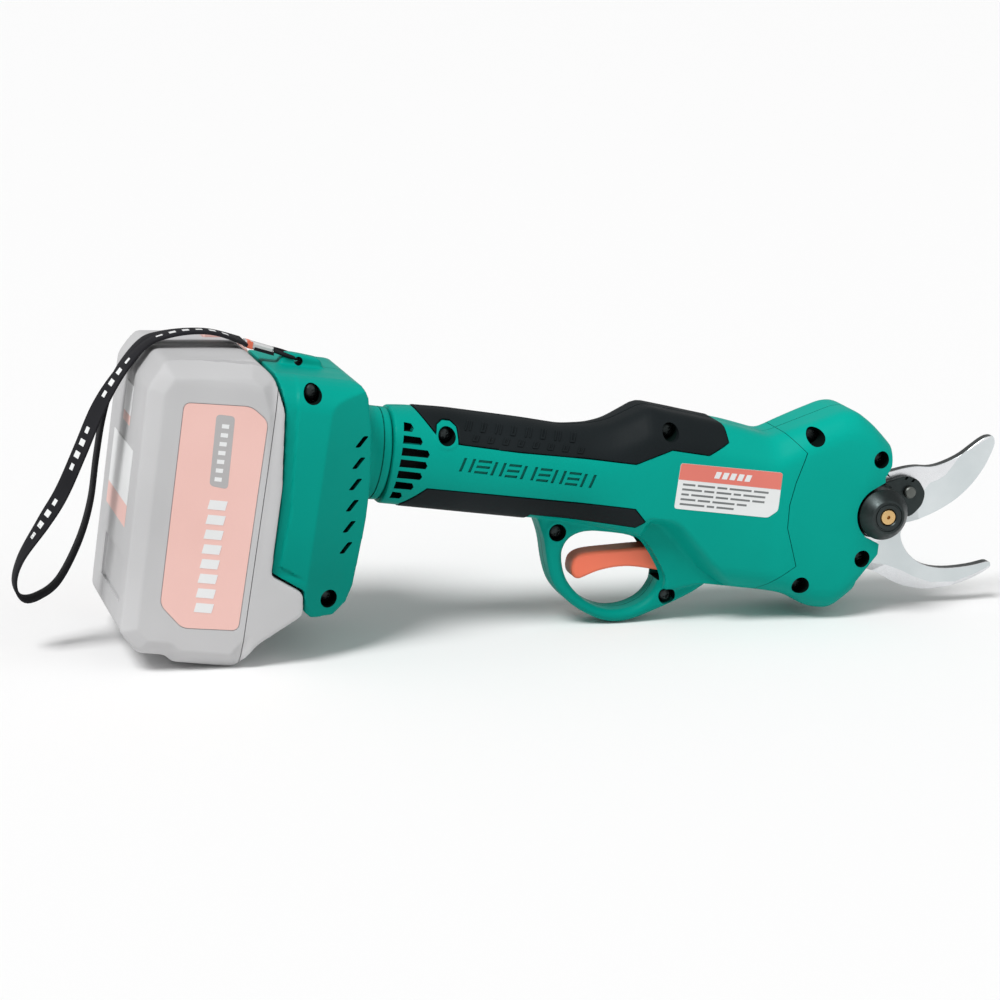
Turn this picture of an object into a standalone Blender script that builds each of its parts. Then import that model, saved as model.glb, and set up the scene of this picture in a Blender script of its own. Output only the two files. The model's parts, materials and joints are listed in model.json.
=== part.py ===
"""Battery electric pruner, as an assembly of separate named pieces.

The shape is laid out in the tool's own frame, in millimetres: the origin is on the blade pivot,
+X runs along the grip towards the blades, +Z is the thumb side and +Y is the tool's left side.
An empty then stands the tool on a floor, resting on its battery and its trigger guard.
"""

import math

import bmesh
import bpy
from mathutils import Matrix, Vector

MM = 0.001
GAP = 0.3  # clearance between pieces that touch
SEAM = GAP / 2

# Driving dimensions, in millimetres and degrees
REST_TILT = 8.0
WALL = 2.6
PACK_HALF_WIDTH = 37.5
FOOT_HALF_WIDTH = 36.0
GUARD_HALF_WIDTH = 6.5
TRIGGER_HALF_WIDTH = 5.3
TRIGGER_PIVOT = (-76.0, -29.0)
MOTOR_RADIUS, MOTOR_REAR, MOTOR_FRONT = 13.4, -168.4, -133.5
GEARBOX_RADIUS, GEARBOX_REAR, GEARBOX_FRONT = 13.0, -132.0, -98.0
MOVING_BLADE_Y = (-9.0, -5.3)
FIXED_BLADE_Y = (-5.0, -1.0)
BOLT_RADIUS = 5.0
CELL_RADIUS, CELL_HALF_LENGTH = 9.1, 33.0
STRAP_WIDTH, STRAP_THICKNESS = 8.0, 1.2

# Long profiles of the grip and body, as (x, value)
TOP_LINE = [
    (-197, 18.6), (-190, 19.3), (-175, 19.7), (-145, 19.2), (-125, 19.0), (-116, 20.4),
    (-111, 22.0), (-106, 25.2), (-102, 28.0), (-97.5, 29.4), (-62, 26.2), (-47, 24.2),
    (-19, 37.5), (-13.8, 36.5), (-8, 33.5), (-2, 29.0), (4.2, 24.0), (10.8, 17.0),
]
BOTTOM_LINE = [
    (-197, -17.9), (-125, -18.0), (-96, -19.8), (-91.7, -22.0), (-81, -34.6), (-60, -35.9),
    (-34, -36.2), (-29, -37.8), (-23.5, -39.6), (-18.3, -40.3), (-13.2, -39.9), (-8.7, -36.9),
    (-4.5, -32.0), (-0.3, -27.2), (4, -22.8), (10.8, -15.0),
]
HALF_WIDTH_LINE = [
    (-197, 17.3), (-120, 17.0), (-105, 18.0), (-90, 19.3), (-45, 19.3), (-38, 20.0), (-8, 20.0),
    (4, 17.0), (10.8, 13.0),
]
SQUARENESS_LINE = [(-197, 2.2), (-120, 2.3), (-95, 3.0), (-60, 3.4), (-30, 4.0), (10.8, 4.0)]
BODY_STATIONS = [
    -197, -186, -165, -145, -125, -116, -111, -106, -102, -97.5, -91.7, -86, -81, -72, -60, -47,
    -34, -26, -18.3, -13.5, -8.5, -3, 4, 10.8,
]
CAVITY_STATIONS = [
    -194, -165, -145, -125, -116, -106, -97.5, -91.7, -81, -60, -47, -34, -18.3, -8.5, 4, 8,
]

# Outlines in the XZ plane
HEAD_ZONE = [
    (-48, 60), (-46.4, 29.1), (-35.8, 20.7), (-39.2, 6.6), (-39.3, -5.9), (-32.4, -23.5),
    (-44.6, -34.2), (-46, -60), (30, -60), (30, 60),
]
GUARD_OUTER = [
    (-136, -15), (-136, -19.4), (-131.4, -26.5), (-129, -33.5), (-125.2, -41.2), (-120.3, -46),
    (-113.3, -50.7), (-106.6, -53.4), (-101.3, -55.2), (-96.3, -55.4), (-90.6, -54.1),
    (-82.2, -49.7), (-70.7, -43), (-64.3, -38.5), (-60, -34), (-80, -15),
]
GUARD_OPENING = [
    (-122.4, -29), (-120, -23.5), (-114.3, -20.6), (-95.7, -20.6), (-91.7, -22.8), (-81.1, -35.9),
    (-82.5, -40.2), (-85.4, -45.3), (-91.5, -49.1), (-98, -50.7), (-103.9, -50.2),
    (-109.3, -48.2), (-114.6, -44.2), (-118.6, -40), (-121, -35),
]
TRIGGER_OUTLINE = [
    (-117, -33.8), (-116.4, -31.3), (-114, -29.6), (-100.9, -26.9), (-89.3, -24.7), (-80, -23.8),
    (-74, -25), (-71.8, -29), (-74.5, -32.2), (-79.2, -33.6), (-87.2, -33), (-93.6, -32.7),
    (-100.5, -33.8), (-106.8, -35.9), (-112.1, -38.8), (-114.8, -39.6), (-116.4, -38),
]
NUT_WINDOW = [
    (0.7, 30), (0.7, 18.8), (-1.4, 14.1), (-1, 12.3), (-7.6, 10.8), (-11, 2.1), (-9.6, -6),
    (-3.6, -10.8), (1.1, -12.1), (1.4, -16.2), (-1.6, -20.5), (-6, -27.5), (-6, -60), (30, -60),
    (30, 30),
]
TOP_GRIP = [
    (-190.4, 40), (-190.4, 20), (-181.4, 12.5), (-180.5, 15), (-177, 16.6), (-173.5, 15),
    (-172.3, 9.6), (-148.6, 8.9), (-103.1, 9.4), (-90.2, 15.6), (-75.2, 15.4), (-67, 20.6),
    (-69, 27), (-74, 40),
]
BOTTOM_GRIP = [
    (-189.2, -40), (-189.2, -15.9), (-181.8, -8.2), (-100.5, -7.8), (-95.8, -12.2),
    (-98.5, -15.2), (-139, -15.2), (-139, -40),
]
INFO_LABEL = [(-86, 11.9), (-44.2, 12.2), (-43.4, -2.8), (-47.1, -6.1), (-85.7, -5.7)]
FOOT_SIDE = [
    (-246.5, 29.5), (-243.4, 18.7), (-240.6, -8), (-240.2, -40.5), (-227.5, -45.5),
    (-226, -53.5), (-223, -56.3), (-213.5, -55), (-209.5, -50.5), (-207.5, -44), (-206, -19),
    (-206.7, -4), (-209.4, 14), (-213, 26), (-216, 29.5),
]
PACK_SIDE = [
    (-293.5, 22), (-288.5, 31.5), (-256, 35), (-249, 30), (-244.2, 18.7), (-241.2, -8.4),
    (-240.7, -41.3), (-228, -46.6), (-227, -54.8), (-242, -67), (-248.8, -76.9),
    (-271.3, -76.9), (-274.6, -74.2), (-284.2, -74.4), (-291.8, -67),
]
PACK_LABEL = [
    (-280.6, 18.4), (-256.6, 19.4), (-250, 14.8), (-250, -62), (-270.4, -62.7), (-279.2, -55),
]
MOVING_BLADE_FREE = [
    (5.9, 15.5), (11.3, 17.5), (16, 18.5), (21, 18.5), (26.2, 20.3), (33.1, 24.3), (37.8, 28.9),
    (42.5, 33.2), (46.5, 33.6), (48.2, 31), (47.7, 26.8), (45.3, 19.3), (41.2, 12.2), (35.8, 6),
    (29.5, 1.2), (22.1, -3.1), (15.1, -5.6),
]
FIXED_BLADE = [
    (17, -6.4), (15.4, -9.4), (17.1, -13.4), (20.1, -17.3), (25.2, -20.5), (31.1, -22.1),
    (38.9, -21.9), (49.7, -19.6), (56, -17), (57.3, -19), (56.8, -20.9), (50.8, -25.1),
    (43.1, -28.9), (32.4, -31.4), (22.8, -31.2), (15.8, -29.2), (9, -26.1), (0, -24.5),
    (-9, -23), (-11, -12), (-10.5, 4), (-6, 11), (2, 13), (10, 9), (14, 1),
]
LOCK_PLATE_LOBE = [
    (15.5, -1.2), (19.4, 3.8), (19.8, 8.9), (15.8, 13.7), (10.1, 14.6), (3.3, 11.7),
]
LOCK_SCREW_AT = (12.6, 8.5)
MOVING_BLADE_ROOT_RADIUS = 14.0
LOCK_PLATE_RADIUS = 11.0

# Screws as (x, z, y of the head's top, y of the tip)
HOUSING_SCREWS = [
    (-177, 11.9, -11.4, 7.0), (-91.2, 22.6, -13.0, 8.0), (-128.7, -20.9, -5.4, 4.5),
    (-81.4, -42.6, -5.4, 4.5),
]
HEAD_SCREWS = [
    (-33.9, 27.3, -15.0, 8.0), (-28.9, -31.0, -15.0, 8.0), (-4.6, 21.1, -15.0, 8.0),
    (-5.3, -18.3, -15.0, 8.0),
]
FOOT_SCREWS = [(-234.3, 25.4, -31.0, 8.0), (-216.9, -49.0, -27.0, 8.0)]
SCREW_HEAD_RADIUS, SCREW_HEAD_HEIGHT, SCREW_SHANK_RADIUS = 2.9, 2.0, 1.4
SCREW_WELL_RADIUS, BOSS_RADIUS, SCREW_HOLE_RADIUS = 3.4, 4.6, 1.8

PAINTS = {
    "green_plastic": ((0.004, 0.190, 0.150), 0.45, 0.0),
    "black_rubber": ((0.018, 0.022, 0.024), 0.80, 0.0),
    "orange_plastic": ((0.880, 0.190, 0.100), 0.40, 0.0),
    "blade_steel": ((0.630, 0.650, 0.660), 0.28, 1.0),
    "dark_steel": ((0.045, 0.055, 0.055), 0.35, 1.0),
    "bright_steel": ((0.600, 0.600, 0.590), 0.35, 1.0),
    "brass": ((0.720, 0.470, 0.190), 0.30, 1.0),
    "copper": ((0.700, 0.280, 0.150), 0.35, 1.0),
    "pack_plastic": ((0.560, 0.560, 0.560), 0.55, 0.0),
    "dark_plastic": ((0.030, 0.032, 0.034), 0.55, 0.0),
    "label_film": ((0.850, 0.820, 0.800), 0.35, 0.0),
    "circuit_board": ((0.010, 0.090, 0.040), 0.50, 0.0),
    "cell_wrap": ((0.080, 0.300, 0.200), 0.40, 0.0),
    "webbing": ((0.030, 0.030, 0.032), 0.90, 0.0),
}


def clear_scene():
    for item in list(bpy.data.objects):
        bpy.data.objects.remove(item)


def paint(name):
    """The named material, made on first use."""
    found = bpy.data.materials.get(name)
    if found:
        return found
    colour, roughness, metallic = PAINTS[name]
    made = bpy.data.materials.new(name)
    made.use_nodes = True
    shader = made.node_tree.nodes["Principled BSDF"]
    shader.inputs["Base Color"].default_value = (*colour, 1.0)
    shader.inputs["Roughness"].default_value = roughness
    shader.inputs["Metallic"].default_value = metallic
    made.diffuse_color = (*colour, 1.0)
    return made


def solid(name, corners, faces, finish="dark_plastic"):
    """A mesh object from corners in millimetres, with its normals turned outwards."""
    mesh = bpy.data.meshes.new(name)
    mesh.from_pydata([Vector(corner) * MM for corner in corners], [], faces)
    mesh.materials.append(paint(finish))
    work = bmesh.new()
    work.from_mesh(mesh)
    bmesh.ops.recalc_face_normals(work, faces=work.faces)
    work.to_mesh(mesh)
    work.free()
    item = bpy.data.objects.new(name, mesh)
    bpy.context.collection.objects.link(item)
    return item


def stacked(name, rings, finish="dark_plastic"):
    """A closed solid through rings of equal length, with flat ends."""
    count = len(rings[0])
    corners = [corner for ring in rings for corner in ring]
    faces = [tuple(range(count)), tuple(range(len(corners) - count, len(corners)))]
    for ring in range(len(rings) - 1):
        for step in range(count):
            near, far = ring * count + step, ring * count + (step + 1) % count
            faces.append((near, far, far + count, near + count))
    return solid(name, corners, faces, finish)


def prism(name, outline, low, high, axis="Y", finish="dark_plastic"):
    """An outline extruded along an axis: (x, z) along Y, (x, y) along Z or (y, z) along X."""
    place = {
        "Y": lambda first, second, depth: (first, depth, second),
        "Z": lambda first, second, depth: (first, second, depth),
        "X": lambda first, second, depth: (depth, first, second),
    }[axis]
    return stacked(name, [[place(a, b, depth) for a, b in outline] for depth in (low, high)], finish)


def block(name, low, high, finish="dark_plastic"):
    outline = [(low[0], low[2]), (high[0], low[2]), (high[0], high[2]), (low[0], high[2])]
    return prism(name, outline, low[1], high[1], finish=finish)


def turned(name, profile, centre=(0, 0), axis="Y", sides=32, finish="dark_plastic"):
    """A solid turned about an axis through centre, from (radius, distance along the axis)."""
    turns = [2 * math.pi * step / sides for step in range(sides)]
    place = {
        "Y": lambda radius, turn, along: (
            centre[0] + radius * math.cos(turn), along, centre[1] + radius * math.sin(turn)),
        "X": lambda radius, turn, along: (
            along, centre[0] + radius * math.cos(turn), centre[1] + radius * math.sin(turn)),
        "Z": lambda radius, turn, along: (
            centre[0] + radius * math.cos(turn), centre[1] + radius * math.sin(turn), along),
    }[axis]
    rings = [[place(radius, turn, along) for turn in turns] for radius, along in profile]
    return stacked(name, rings, finish)


def rod(name, radius, low, high, centre=(0, 0), axis="Y", sides=24, finish="dark_plastic"):
    return turned(name, [(radius, low), (radius, high)], centre, axis, sides, finish)


def tube(name, outer, inner, low, high, centre=(0, 0), axis="Y", sides=32, finish="dark_plastic"):
    """A plain sleeve with a through bore."""
    made = rod(name, outer, low, high, centre, axis, sides, finish)
    return cut(made, rod("bore", inner, low - 1, high + 1, centre, axis, sides))


def combine(target, tool, operation):
    """Apply one Boolean to the target and remove the tool."""
    step = target.modifiers.new(operation, "BOOLEAN")
    step.operation = operation
    step.solver = "EXACT"
    step.object = tool
    bpy.context.view_layer.update()
    shape = bpy.data.meshes.new_from_object(
        target.evaluated_get(bpy.context.evaluated_depsgraph_get()))
    target.modifiers.clear()
    target.data = shape
    bpy.data.objects.remove(tool)
    return target


def cut(target, *tools):
    for tool in tools:
        combine(target, tool, "DIFFERENCE")
    return target


def keep(target, tool):
    return combine(target, tool, "INTERSECT")


def join(target, *tools):
    for tool in tools:
        combine(target, tool, "UNION")
    return target


def copy_of(item, name):
    made = item.copy()
    made.data = item.data.copy()
    made.name = name
    bpy.context.collection.objects.link(made)
    return made


def reading(line, x):
    """The value at x on a line of (x, value) points."""
    for (x0, v0), (x1, v1) in zip(line, line[1:]):
        if x <= x1:
            return v0 + (v1 - v0) * max(0.0, (x - x0) / (x1 - x0))
    return line[-1][1]


def rounded_section(x, inset, count):
    """One rounded cross-section of the grip and body, in the plane at x."""
    top = reading(TOP_LINE, x) - inset
    bottom = reading(BOTTOM_LINE, x) + inset
    half_width = reading(HALF_WIDTH_LINE, x) - inset
    power = 2 / reading(SQUARENESS_LINE, x)
    middle, half_height = (top + bottom) / 2, (top - bottom) / 2
    ring = []
    for step in range(count):
        turn = 2 * math.pi * (step + 0.5) / count
        across, up = math.cos(turn), math.sin(turn)
        ring.append((
            x,
            half_width * math.copysign(abs(across) ** power, across),
            middle + half_height * math.copysign(abs(up) ** power, up)))
    return ring


def body_form(name, inset=0.0, stations=None, count=28):
    """The solid form of the grip, body and head, or one lying inside it by the inset."""
    return stacked(
        name, [rounded_section(x, inset, count) for x in stations or BODY_STATIONS], "green_plastic")


def shifted(outline, dx):
    return [(x + dx, z) for x, z in outline]


def inset_outline(outline, distance):
    """An outline moved inwards by a distance, corner by corner."""
    area = sum(a[0] * b[1] - b[0] * a[1] for a, b in zip(outline, outline[1:] + outline[:1]))
    side = 1.0 if area > 0 else -1.0
    result = []
    for index, here in enumerate(outline):
        corner = Vector(here)
        back = (corner - Vector(outline[index - 1])).normalized()
        ahead = (Vector(outline[(index + 1) % len(outline)]) - corner).normalized()
        inward = Vector((-back.y - ahead.y, back.x + ahead.x)).normalized() * side
        lean = max(0.4, inward.dot(Vector((-back.y, back.x)) * side))
        result.append(tuple(corner + inward * (distance / lean)))
    return result


def polar(radius, degrees):
    turn = math.radians(degrees)
    return radius * math.cos(turn), radius * math.sin(turn)


def arc(radius, start, end, steps):
    """Points on an arc about the pivot, in degrees from +X towards +Z."""
    return [polar(radius, start + (end - start) * step / steps) for step in range(steps + 1)]


def split_halves(whole, right_name, left_name):
    """Two shells from one, parted on the middle plane."""
    left = copy_of(whole, left_name)
    whole.name = right_name
    keep(whole, block("side", (-400, -80, -120), (100, -SEAM, 120)))
    keep(left, block("side", (-400, SEAM, -120), (100, 80, 120)))
    return whole, left


def cut_screw_holes(shell, screws):
    """Wells for the heads from the right side, and holes for the shanks."""
    for x, z, head_y, tip_y in screws:
        cut(shell, rod("well", SCREW_WELL_RADIUS, -60, head_y + SCREW_HEAD_HEIGHT + GAP, (x, z),
                       sides=16),
            rod("hole", SCREW_HOLE_RADIUS, head_y, tip_y + 1, (x, z), sides=12))


def screws(prefix, places, first):
    """Pan-head screws, each a separate solid."""
    for number, (x, z, head_y, tip_y) in enumerate(places, first):
        profile = [
            (SCREW_HEAD_RADIUS - 0.8, head_y), (SCREW_HEAD_RADIUS, head_y + 0.8),
            (SCREW_HEAD_RADIUS, head_y + SCREW_HEAD_HEIGHT),
            (SCREW_SHANK_RADIUS, head_y + SCREW_HEAD_HEIGHT),
            (SCREW_SHANK_RADIUS, tip_y - 1), (0.4, tip_y)]
        turned(f"{prefix}_{number:02d}", profile, (x, z), sides=16, finish="bright_steel")


def body_cavity():
    """The hollow of the body, less the screw bosses and the cradle ribs left standing in it."""
    hollow = body_form("hollow", WALL, CAVITY_STATIONS, 20)
    for x, z, _, _ in HOUSING_SCREWS[:2] + HEAD_SCREWS:
        cut(hollow, rod("boss", BOSS_RADIUS, -40, 40, (x, z), sides=16))
    cut(hollow, rod("boss", 4.2, -40, -7.2, TRIGGER_PIVOT, sides=16),
        rod("boss", 4.2, 7.2, 40, TRIGGER_PIVOT, sides=16))
    cradles = [(-166, MOTOR_RADIUS), (-140, MOTOR_RADIUS), (-129, GEARBOX_RADIUS),
               (-103, GEARBOX_RADIUS), (-50, 8.0)]
    for x, radius in cradles:
        rib = block("rib", (x - 1, -40, -60), (x + 1, 40, 60))
        cut(rib, rod("cradle", radius + GAP, x - 2, x + 2, (0, 0), "X", 24))
        if x > -60:
            cut(rib, block("wire_way", (x - 2, -9, -60), (x + 2, 9, -20)))
        cut(hollow, rib)
    return hollow


def vent_slots():
    """Seven louvres through both sides at the rear of the grip, as one cutter each."""
    right_edges = [-189.7, -186.2, -183.1, -183.4, -184.7, -187.0, -190.2]
    for row, right_edge in enumerate(right_edges):
        low = 12.0 - 4.25 * row
        yield prism("vent", [(-193.5, low), (right_edge, low), (right_edge, low + 2.2),
                             (-193.5, low + 3.0)], -30, 30)


def grip_pad(name, outline, side):
    """A rubber overmould that follows the grip, 1.2 mm deep, on one side of the middle."""
    low, high = (-40, -SEAM) if side < 0 else (SEAM, 40)
    pad = keep(body_form(name, 0.0), prism("zone", outline, low, high))
    cut(pad, body_form("core", 1.2))
    if side < 0:
        for x, z, _, _ in HOUSING_SCREWS[:2]:
            cut(pad, rod("well_way", SCREW_WELL_RADIUS + GAP, -40, 0, (x, z), sides=16))
    pad.data.materials.clear()
    pad.data.materials.append(paint("black_rubber"))
    return pad


def housing():
    """Right and left shells of the grip, body and trigger guard."""
    whole = body_form("housing_right")
    join(whole, prism("guard", GUARD_OUTER, -GUARD_HALF_WIDTH, GUARD_HALF_WIDTH))
    cut(whole, body_cavity(), prism("finger_gap", GUARD_OPENING, -30, 30),
        block("trigger_way", (-94.5, -5.9, -37), (-74, 5.9, -20.8)),
        rod("wire_hole", 5, -200, -190, (0, 0), "X"),
        prism("head_zone", shifted(HEAD_ZONE, -SEAM), -60, 60))
    cut(whole, *vent_slots())
    core = body_form("core", 1.5)
    for outline in (TOP_GRIP, BOTTOM_GRIP):
        zone = prism("zone", inset_outline(outline, -GAP), -40, 40)
        cut(zone, copy_of(core, "core_copy"))
        cut(whole, zone)
    bpy.data.objects.remove(core)
    zone = prism("zone", inset_outline(INFO_LABEL, -GAP), -40, 0)
    cut(whole, cut(zone, body_form("core", 0.8)))
    right, left = split_halves(whole, "housing_right", "housing_left")
    cut(right, rod("pin_hole", 1.8, -13.3, -5, TRIGGER_PIVOT, sides=12))
    cut(left, rod("pin_hole", 1.8, 5, 13.3, TRIGGER_PIVOT, sides=12))
    for shell in (right, left):
        cut_screw_holes(shell, HOUSING_SCREWS)
    screws("housing_screw", HOUSING_SCREWS, 1)


def grips_and_label():
    for side, hand in ((-1, "right"), (1, "left")):
        grip_pad(f"grip_top_{hand}", TOP_GRIP, side)
        grip_pad(f"grip_bottom_{hand}", BOTTOM_GRIP, side)
    label = keep(body_form("info_label"), prism("zone", INFO_LABEL, -40, 0))
    cut(label, body_form("core", 0.5))
    label.data.materials.clear()
    label.data.materials.append(paint("label_film"))


def head_covers():
    """Right and left covers round the blade pivot, with the mouth open at the front."""
    whole = keep(body_form("head_cover_right"),
                 prism("zone", shifted(HEAD_ZONE, SEAM), -60, 60))
    cut(whole, body_cavity(), prism("nut_window", NUT_WINDOW, -40, -9.4),
        block("mouth", (-12, -9.7, -27), (30, -0.7, 19)),
        block("sector_room", (-10, -8, -12), (30, 6, 12)), rod("bolt_room", 9.7, -8, 13.8))
    right, left = split_halves(whole, "head_cover_right", "head_cover_left")
    for x, z in ((-4.6, 21.1), (-5.3, -18.3)):
        for shell in (right, left):
            cut(shell, rod("clear", BOSS_RADIUS + 0.4, -5.2, -0.05, (x, z), sides=16))
        cut(left, rod("clear", BOSS_RADIUS + 0.4, 0, 1.2, (x, z), sides=16))
    for shell in (right, left):
        cut_screw_holes(shell, HEAD_SCREWS)
    screws("head_screw", HEAD_SCREWS, 1)


def blades():
    root = arc(MOVING_BLADE_ROOT_RADIUS, -30, -292, 22)
    moving = prism("moving_blade", MOVING_BLADE_FREE + root, *MOVING_BLADE_Y, finish="blade_steel")
    cut(moving, rod("bore", BOLT_RADIUS + GAP, -10, -4))
    fixed = prism("fixed_blade", FIXED_BLADE, *FIXED_BLADE_Y, finish="blade_steel")
    cut(fixed, rod("bore", 7.3, -6, 0), rod("hole", SCREW_HOLE_RADIUS + 0.3, -6, 0, (-5.3, -18.3)))


def pivot_parts():
    """Everything that turns with the moving blade, and the bushing that it turns in."""
    turned("pivot_bolt", [(6.0, 13.4), (6.8, 12.6), (6.8, 10.9), (BOLT_RADIUS, 10.9),
                          (BOLT_RADIUS, -19.0), (4.4, -19.7)], finish="dark_steel")
    nut = turned("pivot_nut", [(9.0, -12.3), (10.0, -13.2), (10.0, -20.0), (6.9, -24.4),
                               (6.5, -24.8)], finish="dark_steel")
    cut(nut, rod("thread", BOLT_RADIUS + GAP, -10, -20.0), rod("recess", 3.2, -22, -30))
    cut(nut, rod("grease_way", 3.2, -19, -23))
    turned("grease_plug", [(2.0, -20.3), (2.85, -20.8), (2.85, -22.0), (1.6, -22.4)], sides=20,
           finish="brass")
    lobe = prism("lock_plate", LOCK_PLATE_LOBE + arc(LOCK_PLATE_RADIUS, 84, 350, 22), -12.0, -9.3,
                 finish="dark_steel")
    cut(lobe, rod("bore", BOLT_RADIUS + GAP, -14, -8), rod("hole", 1.5, -14, -8, LOCK_SCREW_AT))
    turned("lock_screw", [(1.6, -14.0), (2.2, -13.6), (2.2, -12.3), (1.2, -12.3), (1.2, -9.6)],
           LOCK_SCREW_AT, sides=20, finish="bright_steel")
    tube("blade_bushing", 7.0, BOLT_RADIUS + GAP, -4.9, 5.2, finish="brass")
    gear_sector()


def gear_sector():
    """The toothed quadrant behind the fixed blade, driven by the pinion."""
    teeth, first, last = 14, 168, 236
    rim = []
    for tooth in range(teeth):
        start = first + (last - first) * tooth / teeth
        pitch = (last - first) / teeth
        for share, radius in ((0.0, 18.8), (0.25, 20.6), (0.55, 20.6), (0.8, 18.8)):
            rim.append(polar(radius, start + share * pitch))
    hub = arc(9.0, last + 10, first + 350, 18)
    sector = prism("gear_sector", rim + hub, 5.7, 10.6, finish="bright_steel")
    cut(sector, rod("bore", BOLT_RADIUS + GAP, 4, 12))


def drive():
    """Motor, reduction gearbox and the shaft that carries the pinion, all on the X axis."""
    can = tube("motor_can", MOTOR_RADIUS, 12.2, MOTOR_REAR, MOTOR_FRONT, axis="X",
               finish="dark_steel")
    join(can, rod("front", 12.6, MOTOR_FRONT - 2, MOTOR_FRONT, (0, 0), "X", 32))
    cut(can, rod("shaft_hole", 2.4, MOTOR_FRONT - 4, MOTOR_FRONT + 2, (0, 0), "X"))
    cap = rod("motor_end_cap", MOTOR_RADIUS, MOTOR_REAR - 3.3, MOTOR_REAR - GAP, (0, 0), "X", 32,
              "dark_plastic")
    cut(cap, rod("shaft_hole", 2.4, MOTOR_REAR - 6, MOTOR_REAR + 2, (0, 0), "X"))
    turned("motor_rotor", [(1.5, MOTOR_REAR - 5), (1.5, MOTOR_REAR + 3), (10.8, MOTOR_REAR + 3),
                           (10.8, MOTOR_FRONT - 5), (1.5, MOTOR_FRONT - 5),
                           (1.5, MOTOR_FRONT + 3.5), (2.8, MOTOR_FRONT + 3.5),
                           (2.8, MOTOR_FRONT + 10)], axis="X", finish="copper")
    gearcase = tube("gearbox_case", GEARBOX_RADIUS, 11.0, GEARBOX_REAR, GEARBOX_FRONT, axis="X",
                    finish="bright_steel")
    join(gearcase, rod("front", 11.4, GEARBOX_FRONT - 2.5, GEARBOX_FRONT, (0, 0), "X", 32),
         rod("rear", 11.4, GEARBOX_REAR, GEARBOX_REAR + 1.5, (0, 0), "X", 32))
    cut(gearcase, rod("hole", 3.6, GEARBOX_REAR - 2, GEARBOX_FRONT + 2, (0, 0), "X"))
    turned("drive_shaft", [(9.0, -117), (9.0, -106), (3.2, -106), (3.2, -26)], axis="X",
           finish="bright_steel")
    tube("output_bearing", 7.7, 3.5, -54.5, -45.5, axis="X", finish="bright_steel")
    pinion()


def pinion():
    """The toothed end of the drive shaft, fused to it."""
    teeth = 10
    outline = []
    for step in range(teeth * 4):
        radius = 4.9 if step % 4 in (1, 2) else 3.8
        turn = 2 * math.pi * step / (teeth * 4)
        outline.append((radius * math.cos(turn), radius * math.sin(turn)))
    join(bpy.data.objects["drive_shaft"], prism("teeth", outline, -26.5, -15.5, "X"))


def trigger():
    lever = prism("trigger", TRIGGER_OUTLINE, -TRIGGER_HALF_WIDTH, TRIGGER_HALF_WIDTH,
                  finish="orange_plastic")
    cut(lever, rod("bore", 1.5 + GAP, -10, 10, TRIGGER_PIVOT, sides=16))
    rod("trigger_pin", 1.5, -13, 13, TRIGGER_PIVOT, sides=16, finish="bright_steel")
    tube("trigger_spring", 2.5, 1.8, 5.6, 6.9, TRIGGER_PIVOT, sides=16, finish="bright_steel")
    block("trigger_sensor", (-68, -5, -31), (-64.5, 5, -22), "circuit_board")


def foot_form(name, inset):
    """The foot's outside: its side outline, tapered towards the neck."""
    side = prism(name, inset_outline(FOOT_SIDE, inset), -60, 60, finish="green_plastic")
    half = FOOT_HALF_WIDTH - inset
    plan = [(-260, half), (-226, half), (-211 - inset, half - 7), (-200, half - 12)]
    plan += [(x, -y) for x, y in reversed(plan)]
    front = [(half, -50), (half - 5, -60), (5 - half, -60), (-half, -50), (-half, 22),
             (9 - half, 40), (half - 9, 40), (half, 22)]
    keep(side, prism("plan", plan, -90, 60, "Z"))
    return keep(side, prism("front", front, -300, -190, "X"))


def foot():
    """Right and left shells of the foot that joins the grip to the battery."""
    whole = foot_form("foot_right", 0.0)
    join(whole, rod("neck", 17.6, -212, -197.3, (0, 0.4), "X", 28))
    hollow = foot_form("hollow", 2.4)
    for x, z, _, _ in FOOT_SCREWS:
        cut(hollow, rod("boss", 3.9, -60, 60, (x, z), sides=16))
    cut(whole, hollow, rod("neck_bore", 14.5, -214, -196, (0, 0.4), "X", 28),
        block("rail_way", (-260, -33.4, -60), (-226.4, 33.4, 21.9)))
    for row in range(6):
        top = 11.6 - 7.9 * row
        cut(whole, prism("slot", [(-215.2, top - 4.2), (-213.4, top - 4.2), (-210.4, top),
                                  (-212.2, top)], -50, 50))
    eye = prism("eye", [(-237, 27), (-231, 27), (-231.6, 34), (-233, 35.4), (-235, 35.4),
                        (-236.4, 34)], SEAM, 3.0)
    right, left = split_halves(whole, "foot_right", "foot_left")
    join(left, eye)
    cut(left, rod("eye_hole", 1.4, -1, 5, (-234, 32.6), sides=12))
    for shell in (right, left):
        cut_screw_holes(shell, FOOT_SCREWS)
    screws("foot_screw", FOOT_SCREWS, 1)


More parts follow.
